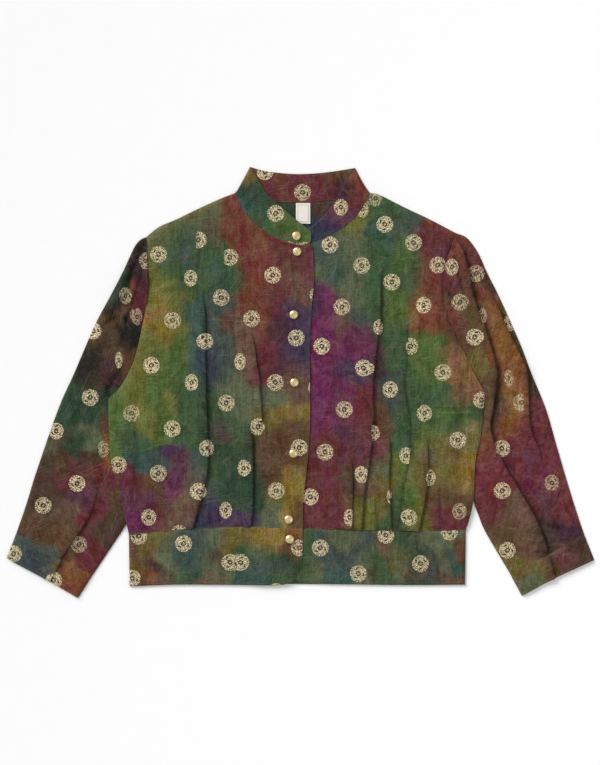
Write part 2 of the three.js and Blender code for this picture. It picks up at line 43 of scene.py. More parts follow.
# Shapes are worked out in millimetres and made in metres. Places that are read
# off the photograph are in its pixels, and onTable turns them round.
look = {
    "pixel": 1.5,            # mm of cloth to a pixel
    "middle": (300.4, 382.5),
    "clothWall": 0.6,
    "bandWall": 1.2,
}

# In the tables below, a dye has its strokes: how far each one reaches, then the pixels
# that it runs between. A rosette has the pixels of its middle, then whether it is cut
# off, narrowed or faint. A crease has its half width, height (below 0 a trough), how
# sharp its top is, how much darker its colour is painted along it as painted shade (below
# 0 it is painted paler, as a painted highlight), and then the points that it runs through.
# A fold has its line, its higher side (1 is the left of the line's run), its height, how
# far it takes to grow and to end (fades), how far its slope reaches, and how wide and
# dark the shade is that is painted along it (soft and pool).


def onTable(px, py):
    return ((px - look["middle"][0]) * look["pixel"], (look["middle"][1] - py) * look["pixel"])


def ease(start, end, value):
    t = np.clip((np.asarray(value, dtype=float) - start) / (end - start), 0, 1)
    return t * t * (3 - 2 * t)


def smoothLine(points, step=3.0):
    # a rounded line through the points, with a vertex about every step
    pts = np.array(points, dtype=float)
    if len(pts) > 2:
        ends = np.vstack([2 * pts[0] - pts[1], pts, 2 * pts[-1] - pts[-2]])
        fine = []
        for i in range(1, len(ends) - 2):
            t = np.linspace(0, 1, 12, endpoint=False)[:, None]
            a, b, c, d = ends[i - 1], ends[i], ends[i + 1], ends[i + 2]
            fine.append(0.5 * (2 * b + (c - a) * t + (2 * a - 5 * b + 4 * c - d) * t ** 2
                               + (3 * b - a - 3 * c + d) * t ** 3))
        pts = np.vstack(fine + [pts[-1:]])
    run = np.concatenate([[0], np.cumsum(np.linalg.norm(np.diff(pts, axis=0), axis=1))])
    count = max(1, round(run[-1] / step))
    at = np.linspace(0, run[-1], count + 1)
    return np.column_stack([np.interp(at, run, pts[:, 0]), np.interp(at, run, pts[:, 1])])


def nearLine(line, xy):
    # distance to a line, its sign by side (left of its run is positive) and how far along it
    line = np.asarray(line, dtype=float)
    best = np.full(len(xy), 1e9)
    side = np.ones(len(xy))
    along = np.zeros(len(xy))
    normal = np.zeros((len(xy), 2))
    run = 0.0
    for a, b in zip(line[:-1], line[1:]):
        way = b - a
        length = math.hypot(way[0], way[1])
        if length < 1e-9:
            continue
        way = way / length
        rel = xy - a
        t = np.clip(rel @ way, 0, length)
        off = rel - t[:, None] * way
        away = np.hypot(off[:, 0], off[:, 1])
        closer = away < best - 1e-9
        best[closer] = away[closer]
        cross = way[0] * rel[:, 1] - way[1] * rel[:, 0]
        side[closer] = np.sign(cross[closer] + 1e-12)
        along[closer] = run + t[closer]
        normal[closer] = (-way[1], way[0])
        run += length
    return best, side, along, normal, run


def insideOf(rim, xy):
    x, y = xy[:, 0], xy[:, 1]
    odd = np.zeros(len(xy), dtype=bool)
    for (ax, ay), (bx, by) in zip(rim, np.roll(rim, -1, axis=0)):
        spans = (ay > y) != (by > y)
        with np.errstate(divide="ignore", invalid="ignore"):
            cut = (bx - ax) * (y - ay) / (by - ay) + ax
        odd ^= spans & (x < cut)
    return odd


def noiseAt(xy, size, seed):
    return np.array([noise.noise(Vector((x / size, y / size, seed * 7.31))) for x, y in xy])


# The dyer's colours, as they look on the cloth
dyePots = {
    "rust": "6c382b", "wine": "612a30", "plum": "563041", "magenta": "66244b",
    "violet": "46304b", "navy": "313648", "slate": "414c47", "teal": "355048", "pine": "2d4230",
    "bottle": "3c5435", "leaf": "4c622d", "moss": "66682b", "olive": "675929", "mustard": "826928",
    "umber": "593f29", "bark": "483529", "mole": "654b3d", "sage": "596045", "amber": "7f4f22",
    "crimson": "6a2b33", "black": "292621", "copper": "7a4a26", "aubergine": "432833", "khaki": "6f673e",
    "tan": "805937",
}


def linearOf(code):
    values = [int(code[i:i + 2], 16) / 255 for i in (0, 2, 4)]
    return [v / 12.92 if v <= 0.04045 else ((v + 0.055) / 1.055) ** 2.4 for v in values]


# How the edges of the dye wander: size of the patches and how far, and the same along
# the threads
bleed = {"wide": (46, 11), "small": (15, 6), "thread": 4.5, "alongWarp": 7, "alongWeft": 4}


def dyed(xy, strokes, seed):
    # brushed strokes of dye, which bleed into each other along wandering edges
    size, far = bleed["wide"]
    wander = np.column_stack([noiseAt(xy, size, seed), noiseAt(xy, size, seed + 40)]) * far
    size, far = bleed["small"]
    wander += np.column_stack([noiseAt(xy, size, seed + 3), noiseAt(xy, size, seed + 43)]) * far
    wander[:, 1] += noiseAt(xy * (1.0, 0.12), bleed["thread"], seed + 60) * bleed["alongWarp"]
    wander[:, 0] += noiseAt(xy * (0.12, 1.0), bleed["thread"], seed + 70) * bleed["alongWeft"]
    spot = xy + wander
    total = np.zeros((len(xy), 3))
    weight = np.full(len(xy), 1e-12)
    for pot, runs in strokes.items():
        tint = np.array(linearOf(dyePots[pot]))
        for reach, *ends in runs:
            start, end = np.array(onTable(*ends[:2])), np.array(onTable(*ends[-2:]))
            way = end - start
            t = np.clip((spot - start) @ way / max(way @ way, 1e-9), 0, 1)
            away = ((spot - start - t[:, None] * way) ** 2).sum(axis=1)
            w = np.exp(-1.3 * away / (reach * look["pixel"]) ** 2) + 1e-8 / (1 + away / 400)
            total += w[:, None] * tint
            weight += w
    return np.column_stack([total / weight[:, None], np.ones(len(xy))])


# Painted shade inside a fold: the colour is darkened from this far below its line over
# the width of its lip, and a share of that fades out on top
paintedFoldShade = {"below": 3.5, "lip": 4.6, "overLip": 0.3, "soft": 2.5}


def paintedShadeAndLight(xy, folds, creases):
    # painted shade: how much darker the colour is painted along folds and creases, and a painted
    # highlight, paler, along creases whose amount is below 0
    shade = np.ones(len(xy))
    for fold in folds:
        away, side, along, _, run = nearLine(smoothLine(fold["line"], 8), xy)
        lowSide = -away * side * fold["side"] - paintedFoldShade["below"]
        start, end = fold.get("fades", (60, 0))
        grown = (ease(0, start, along) if start else 1) * (ease(run, run - end, along) if end else 1)
        dark = np.where(lowSide > 0, np.exp(-(lowSide / fold.get("soft", 7)) ** 2),
                        np.where(lowSide > -paintedFoldShade["lip"], 1, paintedFoldShade["overLip"]
                                 * np.exp(-((lowSide + paintedFoldShade["lip"]) / paintedFoldShade["soft"]) ** 2)))
        shade *= 1 - fold.get("paintedShade", 0.45) * dark * grown
    for half, _, _, paintedShade, *line in creases:
        if paintedShade:
            away, _, along, _, run = nearLine(smoothLine(line, 8), xy)
            fade = ease(0, 0.3 * run, along) * ease(run, 0.7 * run, along)
            shade *= 1 - paintedShade * np.exp(-(away / (half * 0.45)) ** 2) * fade
    return shade[:, None]


# How worn faint prints are and how worn the others can be, how far a print reaches from
# its middle, and how softly a fold cuts it off
printWear = {"faint": 0.4, "most": 0.16, "reach": 14.2, "cutSoft": 8}


def rosettePlaces(xy, centres, seed):
    # where each point lies in the nearest printed rosette, turned its own way
    place = np.zeros((len(xy), 3))
    place[:, 2] = 1
    if not centres:
        return place
    spots = np.array([onTable(*centre[:2]) for centre in centres])
    rng = random.Random(seed)
    turns = np.array([rng.uniform(0, math.tau) for _ in centres])
    gap = xy[:, None, :] - spots[None, :, :]
    gap[:, :, 0] /= np.array([centre[3] if "narrow" in centre else 1.0 for centre in centres])
    away = np.hypot(gap[:, :, 0], gap[:, :, 1])
    nearest = away.argmin(axis=1)
    rows = np.arange(len(xy))
    offset = gap[rows, nearest]
    turn = turns[nearest]
    cos, sin = np.cos(turn), np.sin(turn)
    place[:, 0] = offset[:, 0] * cos - offset[:, 1] * sin
    place[:, 1] = offset[:, 0] * sin + offset[:, 1] * cos
    worn = np.array([printWear["faint"] if "faint" in centre else rng.uniform(0, printWear["most"])
                     for centre in centres])
    place[:, 2] = np.where(away[rows, nearest] > printWear["reach"], 1, worn[nearest])
    # folds squeeze some to a share of their width and cut others off: on their left
    # or their right, so many pixels from the middle
    for i, centre in enumerate(centres):
        if "left" in centre or "right" in centre:
            sign = -1 if centre[2] == "left" else 1
            beyond = (offset[:, 0] * sign - centre[3] * look["pixel"]) / printWear["cutSoft"] + 0.5
            place[:, 2] = np.where(nearest == i, np.maximum(place[:, 2], np.clip(beyond, 0, 1)),
                                   place[:, 2])
    return place


# A buttonhole's slit, from this far before its button to this far past it
holePiece = {"width": 0.8, "pastButton": 3.2, "run": 10, "collarRun": 17}
# How close the even grid comes to the rows along folds, sharp creases and buttonholes
rowRoom = {"fold": 6.6, "crease": 3.4, "creaseFold": 7, "hole": 3.4, "holeFold": 3.0, "rim": 0.9}


# A knife fold in section: how far across the flat cloth, where that ends up, and
# how high, for a fold one unit high that laps over by one
foldSection = {
    "flat": [-7.0, -3.8, -2.7, -1.9, -1.2, -0.4, 0.3, 1.1, 2.4, 5.5, 9.0],
    "across": [-7.0, -2.2, -0.5, 0.2, -1.2, -3.0, -3.6, -2.9, -0.6, 4.8, 9.0],
    "height": [0.0, 0.0, 0.10, 0.30, 0.42, 0.55, 0.78, 0.97, 1.0, 0.93, 0.80],
}


def foldRows(folds, step=3.2):
    # rows of points along each knife fold, so that its section is followed
    rows = []
    for fold in folds:
        line = smoothLine(fold["line"], step)
        way = np.gradient(line, axis=0)
        way /= np.linalg.norm(way, axis=1)[:, None]
        left = np.column_stack([-way[:, 1], way[:, 0]]) * fold["side"]
        for k, off in enumerate(foldSection["flat"][:-1]):
            rows.append(line + left * off + way * (step / 2 if k % 2 else 0))
    return np.vstack(rows) if rows else np.zeros((0, 2))


def meshInside(rim, spacing, folds=(), holes=(), creases=()):
    # triangles inside an outline, even but for the rows along folds and sharp creases
    # and round the buttonholes
    low, top = rim.min(axis=0), rim.max(axis=0)
    rise = spacing * math.sqrt(3) / 2
    grid = []
    for j, y in enumerate(np.arange(low[1], top[1] + rise, rise)):
        xs = np.arange(low[0] + (spacing / 2 if j % 2 else 0), top[0] + spacing, spacing)
        grid.append(np.column_stack([xs, np.full(len(xs), y)]))
    grid = np.vstack(grid)
    grid = grid[insideOf(rim, grid)]
    closed = np.vstack([rim, rim[:1]])
    grid = grid[nearLine(closed, grid)[0] > spacing * 0.55]
    extra = foldRows(folds)
    for fold in folds:
        away = nearLine(smoothLine(fold["line"], 8), grid)[0]
        grid = grid[away > rowRoom["fold"]]
    for _, _, sharp, _, *line in creases:
        if sharp >= 0.5:
            line = smoothLine(line, 2.2)
            way = np.gradient(line, axis=0)
            left = np.column_stack([-way[:, 1], way[:, 0]]) / np.linalg.norm(way, axis=1)[:, None]
            rows = np.vstack([line + left * off for off in (-2.5, -1.2, 0, 1.2, 2.5)])
            for fold in folds:
                rows = rows[nearLine(smoothLine(fold["line"], 8), rows)[0] > rowRoom["creaseFold"]]
            grid = grid[nearLine(line[::3], grid)[0] > rowRoom["crease"]]
            extra = np.vstack([extra, rows])
    if len(extra):
        extra = extra[insideOf(rim, extra)]
        extra = extra[nearLine(closed, extra)[0] > rowRoom["rim"]]
    edges = [(i, (i + 1) % len(rim)) for i in range(len(rim))]
    slits = []
    for start, end, y in holes:
        first = len(rim) + len(slits)
        half = holePiece["width"] / 2
        slits += [(start, y - half), (end, y - half), (end, y + half), (start, y + half)]
        edges += [(first + k, first + (k + 1) % 4) for k in range(4)]
    for start, end, y in holes:
        room = rowRoom["hole"]
        grid = grid[(abs(grid[:, 1] - y) > room) | (grid[:, 0] < start - room)
                    | (grid[:, 0] > end + room)]
        if len(extra):
            room = rowRoom["holeFold"]
            extra = extra[(abs(extra[:, 1] - y) > room) | (extra[:, 0] < start - room)
                          | (extra[:, 0] > end + room)]
        for out in (1.3, 2.4):
            xs = np.arange(start - out, end + out + 0.1, 1.4)
            beside = [np.column_stack([xs, np.full(len(xs), y + s * (out + 0.4))]) for s in (-1, 1)]
            grid = np.vstack([grid, *beside, [(start - out, y), (end + out, y)]])
    verts = np.vstack([rim, np.array(slits).reshape(-1, 2), extra, grid])
    made = delaunay_2d_cdt([Vector(v) for v in verts], edges, [], 1, 1e-4)
    xy = np.array([tuple(v) for v in made[0]])
    faces = []
    for face in made[2]:
        a, b, c = (xy[i] for i in face)
        mid = (a + b + c) / 3
        if any(start < mid[0] < end and abs(mid[1] - y) < holePiece["width"] / 2
               for start, end, y in holes):
            continue
        turned = (b[0] - a[0]) * (c[1] - a[1]) - (b[1] - a[1]) * (c[0] - a[0])
        faces.append(tuple(face) if turned > 0 else tuple(reversed(face)))
    return xy, faces


def foldShift(xy, folds):
    # what the knife folds do to each point
    shift = np.zeros((len(xy), 3))
    for fold in folds:
        away, side, along, normal, run = nearLine(smoothLine(fold["line"], 8), xy)
        reach = fold.get("reach", 34)
        signed = away * side * fold["side"]
        start, end = fold.get("fades", (60, 0))
        grown = (ease(0, start, along) if start else 1) * (ease(run, run - end, along) if end else 1)
        past = ((along < 0.01) | (along > run - 0.01)) & (away > 2)
        grown = np.where(past, grown * np.exp(-(away / 6) ** 2), grown)
        across = np.interp(signed, foldSection["flat"] + [reach], foldSection["across"] + [reach])
        across = np.where((signed < -7) | (signed > 9), signed, across)
        height = np.interp(signed, foldSection["flat"] + [reach], foldSection["height"] + [0.0])
        height = np.where(signed < -7, 0, height)
        lap = fold.get("lap", 1.0) * grown
        move = (across - signed) * lap
        outward = normal * fold["side"]
        shift[:, 0] += outward[:, 0] * move
        shift[:, 1] += outward[:, 1] * move
        shift[:, 2] += height * fold["height"] * grown
    return shift


def creaseRise(xy, creases):
    # soft swells and troughs, and sharp creases
    rise = np.zeros(len(xy))
    for half, height, sharp, _, *line in creases:
        away, _, along, _, run = nearLine(smoothLine(line, 10), xy)
        t = np.clip(away / half, 0, 1)
        soft = np.cos(math.pi / 2 * t) ** 2
        keen = (1 - t) ** 2.2
        fade = ease(0, 0.25 * run, along) * ease(run, 0.75 * run, along)
        rise += height * (soft * (1 - sharp) + keen * sharp) * fade
    return rise


# Waves of the cloth: share, size and a number added to the seed
rumples = ((1.1, 62, 0), (0.55, 24, 11), (0.28, 9.5, 23))


def rumpled(xy, seed, amount=1.0):
    return amount * sum(share * noiseAt(xy, size, seed + more) for share, size, more in rumples)


def towardsEdge(z, xy, edges):
    # rounds a layer over towards its edges: line, how far in, height at the edge
    for line, reach, height in edges:
        away = nearLine(smoothLine(line, 6), xy)[0]
        t = np.clip(away / reach, 0, 1)
        part = np.sqrt(np.clip(1 - (1 - t) ** 2, 0, 1))
        z = height + (z - height) * part
    return z


def rimOf(edges, step):
    # one closed outline from edges that follow on from each other
    lines = [smoothLine(edge, step)[:-1] for edge in edges]
    rim = np.vstack(lines)
    area = np.sum(rim[:, 0] * np.roll(rim[:, 1], -1) - np.roll(rim[:, 0], -1) * rim[:, 1])
    return rim[::-1] if area < 0 else rim


def hemPlaces(xy, stitched, rim, holes=()):
    # how far each point is from a stitched edge, how far along it, and how far from any edge
    place = np.full((len(xy), 3), 90.0)
    for edge in stitched:
        away, _, along, _, _ = nearLine(smoothLine(edge, 8), xy)
        closer = away < place[:, 0]
        place[closer, 0] = away[closer]
        place[closer, 1] = along[closer]
    place[:, 2] = nearLine(np.vstack([rim, rim[:1]]), xy)[0]
    for start, end, y in holes:
        out = np.hypot(np.maximum(np.maximum(start - xy[:, 0], xy[:, 0] - end), 0), xy[:, 1] - y)
        place[:, 2] = np.where(out < 3.5, -out, place[:, 2])
    return place


def clothObject(name, xyz, faces, dye, rosette, cloth, hem, wall):
    mesh = bpy.data.meshes.new(name)
    mesh.from_pydata((xyz / 1000).tolist(), [], faces)
    mesh.update()
    paint = mesh.color_attributes.new(name="dye", type="FLOAT_COLOR", domain="POINT")
    paint.data.foreach_set("color", dye.astype(np.float32).ravel())
    for key, values in (("rosette", rosette), ("cloth", cloth), ("hem", hem)):
        layer = mesh.attributes.new(key, "FLOAT_VECTOR", "POINT")
        layer.data.foreach_set("vector", values.astype(np.float32).ravel())
    obj = bpy.data.objects.new(name, mesh)
    bpy.context.collection.objects.link(obj)
    bpy.ops.object.select_all(action="DESELECT")
    bpy.context.view_layer.objects.active = obj
    obj.select_set(True)
    thick = obj.modifiers.new("wall", "SOLIDIFY")
    thick.thickness = wall / 1000
    thick.offset = -1
    bpy.ops.object.modifier_apply(modifier="wall")
    bpy.ops.object.shade_smooth_by_angle(angle=math.radians(62))
    obj.select_set(False)
    return obj


# Outlines, edge by edge, in mm
rightSide = [(-257, -227), (-262, -205), (-271, -163), (-281, -131), (-286, -95), (-288, -25)]
rightArmholeLow = [(-288, -25), (-271, -8), (-260, 10), (-248, 37), (-239, 74)]
rightArmholeHigh = [(-239, 74), (-232, 109), (-229, 139), (-229, 169), (-231, 218)]
rightShoulder = [(-231, 218), (-212, 233), (-187, 244), (-154, 260), (-121, 275), (-98, 284)]
rightNeck = [(-98, 284), (-90, 265), (-78, 247), (-64, 234), (-45, 221), (-24, 212), (-2, 206), (12, 208)]
rightEdge = [(12, 208), (18, 202), (20, 154), (17, 115), (14, 46), (14, -71), (8, -142), (4, -177),
             (3.5, -219)]
leftSide = [(276, -16), (274, -45), (270, -80), (262, -119), (259, -176), (252, -209), (248, -219)]
leftArmholeLow = [(231, 72), (246, 44), (259, 16), (271, -6), (276, -16)]
leftArmholeHigh = [(233, 224), (226, 204), (218, 179), (214, 149), (216, 116), (222, 89), (231, 72)]
leftShoulder = [(104, 284), (119, 281), (157, 262), (195, 244), (233, 224)]
leftNeck = [(-26, 213), (-14, 209), (0, 208), (17, 210), (34, 215), (53, 225), (69, 235), (84, 249),
            (96, 267), (104, 284)]
leftEdge = [(-38.5, -218), (-38, -177), (-34, -142), (-28, -71), (-28, 46), (-25, 115), (-23, 190),
            (-26, 213)]
backNeck = [(104, 284), (80, 279), (50, 274), (4, 270), (-38, 271), (-70, 276), (-98, 284)]
waistLeft = [(248, -219), (240, -221), (148, -222), (60, -220), (3.5, -219)]
waistLap = [(3.5, -219), (-38.5, -218)]
waistRight = [(-38.5, -218), (-76, -216), (-130, -217), (-168, -219), (-212, -223), (-257, -227)]
rightHem = [(-256, -305.5), (-189, -303), (-139, -303), (-43, -304)]
rightCorner = [(-43, -304), (-24, -302.5), (-10, -296), (0, -277), (3.5, -259), (3.5, -219)]
leftCorner = [(-38.5, -218), (-38, -259), (-32, -276), (-20, -289), (-6, -296.5), (9, -300), (44, -302)]
leftHem = [(44, -302), (150, -303.5), (247, -303)]
rightBandSide = [(-257, -227), (-256, -305.5)]
leftBandSide = [(247, -303), (248, -219)]
backHem = [(-256, -305.5), (-189, -303), (-139, -303), (0, -302), (150, -303.5), (247, -303)]
collarBackTop = [(82, 321.5), (60, 318), (34, 314.5), (3, 312.5), (-24, 313.5), (-52, 317), (-75.5, 323)]
collarRightFold = [(-75.5, 323), (-84, 307), (-94, 289), (-98, 284)]
collarLeftFold = [(104, 284), (93, 300.5), (82, 321.5)]
collarRightTop = [(16, 219), (15.5, 225), (7, 233.5), (-9, 245.5), (-24, 259), (-38, 271), (-52, 285),
                  (-64, 306), (-75.5, 323)]
collarRightTip = [(12, 208), (15.5, 212), (16, 219)]
collarLeftTop = [(82, 321.5), (67, 299), (55, 278), (40, 256), (29, 245), (17, 235), (4, 229), (-13, 226),
                 (-22, 221)]
collarLeftTip = [(-22, 221), (-26, 217), (-26, 213)]
rightSleeveOuter = [(-231, 218), (-239.5, 214), (-247.5, 205), (-255.5, 189), (-267, 164), (-285, 129.5),
                    (-308, 86), (-340, 12), (-363, -40), (-395.5, -133), (-411, -183), (-426, -226.5)]
rightCuffSeam = [(-426, -226.5), (-365, -262), (-311.5, -289)]
rightSleeveInner = [(-311.5, -289), (-283.5, -247), (-261, -212), (-248, -180), (-241, -130), (-238, -85),
                    (-236, -30), (-236, 30), (-239, 74)]
rightCuffOuter = [(-426, -226.5), (-440.5, -263.5)]
rightCuffEnd = [(-440.5, -263.5), (-378, -297), (-333, -323)]
rightCuffInner = [(-333, -323), (-311.5, -289)]
leftSleeveOuter = [(425, -227), (412, -188), (399, -146), (383.5, -93), (368, -40), (347, 12), (331, 54),
                   (310, 102), (294, 136.5), (280, 164), (269, 189), (259.5, 205), (248, 218),
                   (233, 224)]
leftCuffSeam = [(313, -284.5), (366, -261), (425, -227)]
leftSleeveInner = [(231, 72), (231, 20), (235, -50), (241, -95), (249, -140), (259, -176.5), (267, -199),
                   (278, -225), (313, -284.5)]
leftCuffOuter = [(440.5, -266), (425, -227)]
leftCuffEnd = [(332, -320), (379, -294.5), (440.5, -266)]
leftCuffInner = [(313, -284.5), (332, -320)]


# The body is raised where it lies on a sleeve: fully until this far past the sleeve's
# inner edge, then less until it ends, and only below the height of the armhole's curve
onSleeve = {"fully": 15, "ends": 38, "rise": 2.8, "below": 98, "above": 122}


def lift(xy):
    x, y = xy[:, 0], xy[:, 1]
    right = np.array(rightSleeveInner)
    left = np.array(leftSleeveInner)[::-1]
    ends, fully = onSleeve["ends"], onSleeve["fully"]
    onRight = ease(ends, fully, x - np.interp(y, right[:, 1], right[:, 0]))
    onLeft = ease(ends, fully, np.interp(y, left[:, 1], left[:, 0]) - x)
    raised = onSleeve["rise"] * np.maximum(onRight, onLeft)
    return raised * ease(onSleeve["above"], onSleeve["below"], y)


# Cloth finish: weave, dye mottling, crushed lines and the printed rosettes

def link(tree, source, target):
    tree.links.new(source, target)


def feed(tree, socket, value):
    if isinstance(value, bpy.types.NodeSocket):
        link(tree, value, socket)
    elif value is not None:
        socket.default_value = value


def calc(tree, operation, a, b=None, c=None):
    node = tree.nodes.new("ShaderNodeMath")
    node.operation = operation
    for socket, value in zip(node.inputs, (a, b, c)):
        feed(tree, socket, value)
    return node.outputs[0]


def between(tree, value, low, top, outLow=0.0, outTop=1.0):
    node = tree.nodes.new("ShaderNodeMapRange")
    node.interpolation_type = "SMOOTHSTEP"
    feed(tree, node.inputs["Value"], value)
    for key, number in (("From Min", low), ("From Max", top), ("To Min", outLow), ("To Max", outTop)):
        feed(tree, node.inputs[key], number)
    return node.outputs["Result"]


def blendColour(tree, share, a, b, how="MIX"):
    node = tree.nodes.new("ShaderNodeMix")
    node.data_type = "RGBA"
    node.blend_type = how
    node.clamp_factor = True
    feed(tree, node.inputs[0], share)
    for socket, value in ((node.inputs[6], a), (node.inputs[7], b)):
        feed(tree, socket, value if isinstance(value, bpy.types.NodeSocket) else (*value, 1))
    return node.outputs[2]


def noiseNode(tree, coords, scale, detail=3.0, distortion=0.0, rough=0.5):
    node = tree.nodes.new("ShaderNodeTexNoise")
    link(tree, coords, node.inputs["Vector"])
    node.inputs["Scale"].default_value = scale
    node.inputs["Detail"].default_value = detail
    node.inputs["Roughness"].default_value = rough
    node.inputs["Distortion"].default_value = distortion
    return node


def mapped(tree, coords, turn=0.0, scale=(1, 1, 1), move=(0, 0, 0)):
    node = tree.nodes.new("ShaderNodeMapping")
    link(tree, coords, node.inputs["Vector"])
    node.inputs["Rotation"].default_value = (0, 0, math.radians(turn))
    node.inputs["Scale"].default_value = scale
    node.inputs["Location"].default_value = move
    return node.outputs[0]


def strokeLines(tree, coords, turn, across, along, patch, seed):
    # faint pale lines where the cloth was crushed in the dye bath
    sway = noiseNode(tree, coords, 1 / 60, 2.0)
    bent = tree.nodes.new("ShaderNodeVectorMath")
    bent.operation = "MULTIPLY_ADD"
    link(tree, sway.outputs["Color"], bent.inputs[0])
    bent.inputs[1].default_value = (clothFinish["lineSway"], clothFinish["lineSway"], 0)
    link(tree, coords, bent.inputs[2])
    turned = mapped(tree, bent.outputs[0], turn)
    laid = mapped(tree, turned, 0, (1 / across, 1 / along, 1), (seed * 3.1, seed * 1.7, seed * 5.3))
    threads = noiseNode(tree, laid, 1.0, 2.0)
    ridge = calc(tree, "ABSOLUTE", calc(tree, "SUBTRACT", threads.outputs["Fac"], 0.5))
    ridge = between(tree, ridge, 0.0, 0.05, 1.0, 0.0)
    shown = noiseNode(tree,
                      mapped(tree, coords, 0, (1 / patch, 1 / patch, 1), (seed * 9.7, seed * 4.1, seed)),
                      1.0, 2.0)
    return calc(tree, "MULTIPLY", ridge, between(tree, shown.outputs["Fac"], 0.46, 0.62))


clothFinish = {
    "roughness": 0.66,
    "sheen": 0.02,
    "sheenRoughness": 0.45,
    "specular": 0.07,
    "light": 0.89,
    "printGold": (0.96, 0.80, 0.50),
    "printShade": 0.42,      # how dark the cloth is between the gold
    "stitchIn": 3.0,
    "stitchPitch": 3.4,
    "saturation": (1.06, 0.86),
    "hue": (0.478, 0.522),
    "paleLines": 0.20,
    "paleStitch": 0.38,
    "paleWear": 0.14,
    "paleHole": 0.45,
    "lineSway": 17,
    "weaveRise": 0.10,
    "lineRise": 0.8,
    "creaseRise": 1.3,
    "stitchRise": 0.30,
    "seamDip": 0.22,
    "reliefStrength": 0.8,
    "reliefHeight": 0.0012,
}
# How much darker and paler each kind of mottling makes the dye
mottling = {
    "streak": (-0.13, 0.15), "blotch": (-0.20, 0.22), "grain": (-0.16, 0.17),
    "warpThread": (-0.15, 0.17), "weftThread": (-0.09, 0.10),
}
# Lines where the cloth was crushed in the dye bath: turn, width, length, patch and seed
crushedLines = ((38, 7, 90, 44, 1), (-46, 7, 85, 40, 2), (82, 6, 90, 46, 3), (-8, 7, 80, 42, 4))
# The print, in mm from its middle: a ring, three slanted leaves and nine dots left bare,
# with a scalloped and ragged edge
rosettePrint = {
    "radius": 12.4,
    "ragged": (3.6, 1.9),
    "scallops": (26.0, 0.30),
    "speckScale": 0.50,
    "ring": (1.4, 2.0, 3.2, 3.8),
    "leaves": 3,
    "leafAt": 7.7,
    "leafSlant": 0.34,
    "leafHalf": (2.7, 1.2),
    "dots": 9,
    "dotsAt": 10.4,
    "flecks": (0.455, 0.52),
}


def attributeParts(tree, name):
    place = tree.nodes.new("ShaderNodeAttribute")
    place.attribute_name = name
    parts = tree.nodes.new("ShaderNodeSeparateXYZ")
    link(tree, place.outputs["Vector"], parts.inputs[0])
    return parts.outputs


def squared(tree, value):
    return calc(tree, "POWER", calc(tree, "ABSOLUTE", value), 2.0)


def arcWithin(tree, angle, radius, count, shift):
    # distance along the arc from the middle of the nearest of so many equal parts
    part = calc(tree, "FRACT", calc(tree, "MULTIPLY_ADD", angle, count / math.tau, shift))
    part = calc(tree, "SUBTRACT", part, 0.5)
    return calc(tree, "MULTIPLY", calc(tree, "MULTIPLY", part, math.tau / count), radius)


def rosetteNodes(tree):
    # the print's cover, and how much of it is bare cloth, from each point's place in it
    du, dv, far = attributeParts(tree, "rosette")
    place = du.node.inputs[0].links[0].from_socket
    radius = calc(tree, "SQRT",
                  calc(tree, "ADD", calc(tree, "MULTIPLY", du, du), calc(tree, "MULTIPLY", dv, dv)))
    angle = calc(tree, "ARCTAN2", dv, du)
    count, depth = rosettePrint["scallops"]
    scallop = calc(tree, "MULTIPLY", calc(tree, "SINE", calc(tree, "MULTIPLY", angle, count)), depth)
    speck = noiseNode(tree, place, rosettePrint["speckScale"], 3.0, 0.3, 0.7)
    ragged, inwards = rosettePrint["ragged"]
    edge = calc(tree, "MULTIPLY_ADD", speck.outputs["Fac"], ragged, scallop)
    edge = calc(tree, "ADD", edge, rosettePrint["radius"] - inwards)
    cover = between(tree, calc(tree, "SUBTRACT", radius, edge), -0.35, 0.35, 1.0, 0.0)
    cover = calc(tree, "MULTIPLY", cover, calc(tree, "LESS_THAN", far, 0.5))
    cover = calc(tree, "MULTIPLY", cover, calc(tree, "SUBTRACT", 1.0, far))
    ringSizes = rosettePrint["ring"]
    ring = calc(tree, "MULTIPLY", between(tree, radius, *ringSizes[:2]),
                between(tree, radius, *ringSizes[2:], 1.0, 0.0))
    arc = arcWithin(tree, angle, radius, rosettePrint["leaves"], 5.0)
    slant = calc(tree, "SUBTRACT", radius, rosettePrint["leafAt"])
    slant = calc(tree, "MULTIPLY_ADD", arc, rosettePrint["leafSlant"], slant)
    halfLength, halfWidth = rosettePrint["leafHalf"]
    leaf = calc(tree, "ADD", squared(tree, calc(tree, "DIVIDE", arc, halfLength)),
                squared(tree, calc(tree, "DIVIDE", slant, halfWidth)))
    leaf = between(tree, leaf, 0.7, 1.2, 1.0, 0.0)
    dotArc = arcWithin(tree, angle, radius, rosettePrint["dots"], 5.25)
    dot = calc(tree, "ADD", squared(tree, dotArc),
               squared(tree, calc(tree, "SUBTRACT", radius, rosettePrint["dotsAt"])))
    dot = between(tree, dot, 0.3, 1.0, 0.9, 0.0)
    fleck = between(tree, speck.outputs["Fac"], *rosettePrint["flecks"], 0.95, 0.0)
    bare = calc(tree, "MAXIMUM", calc(tree, "MAXIMUM", ring, leaf), calc(tree, "MAXIMUM", dot, fleck))
    return cover, bare


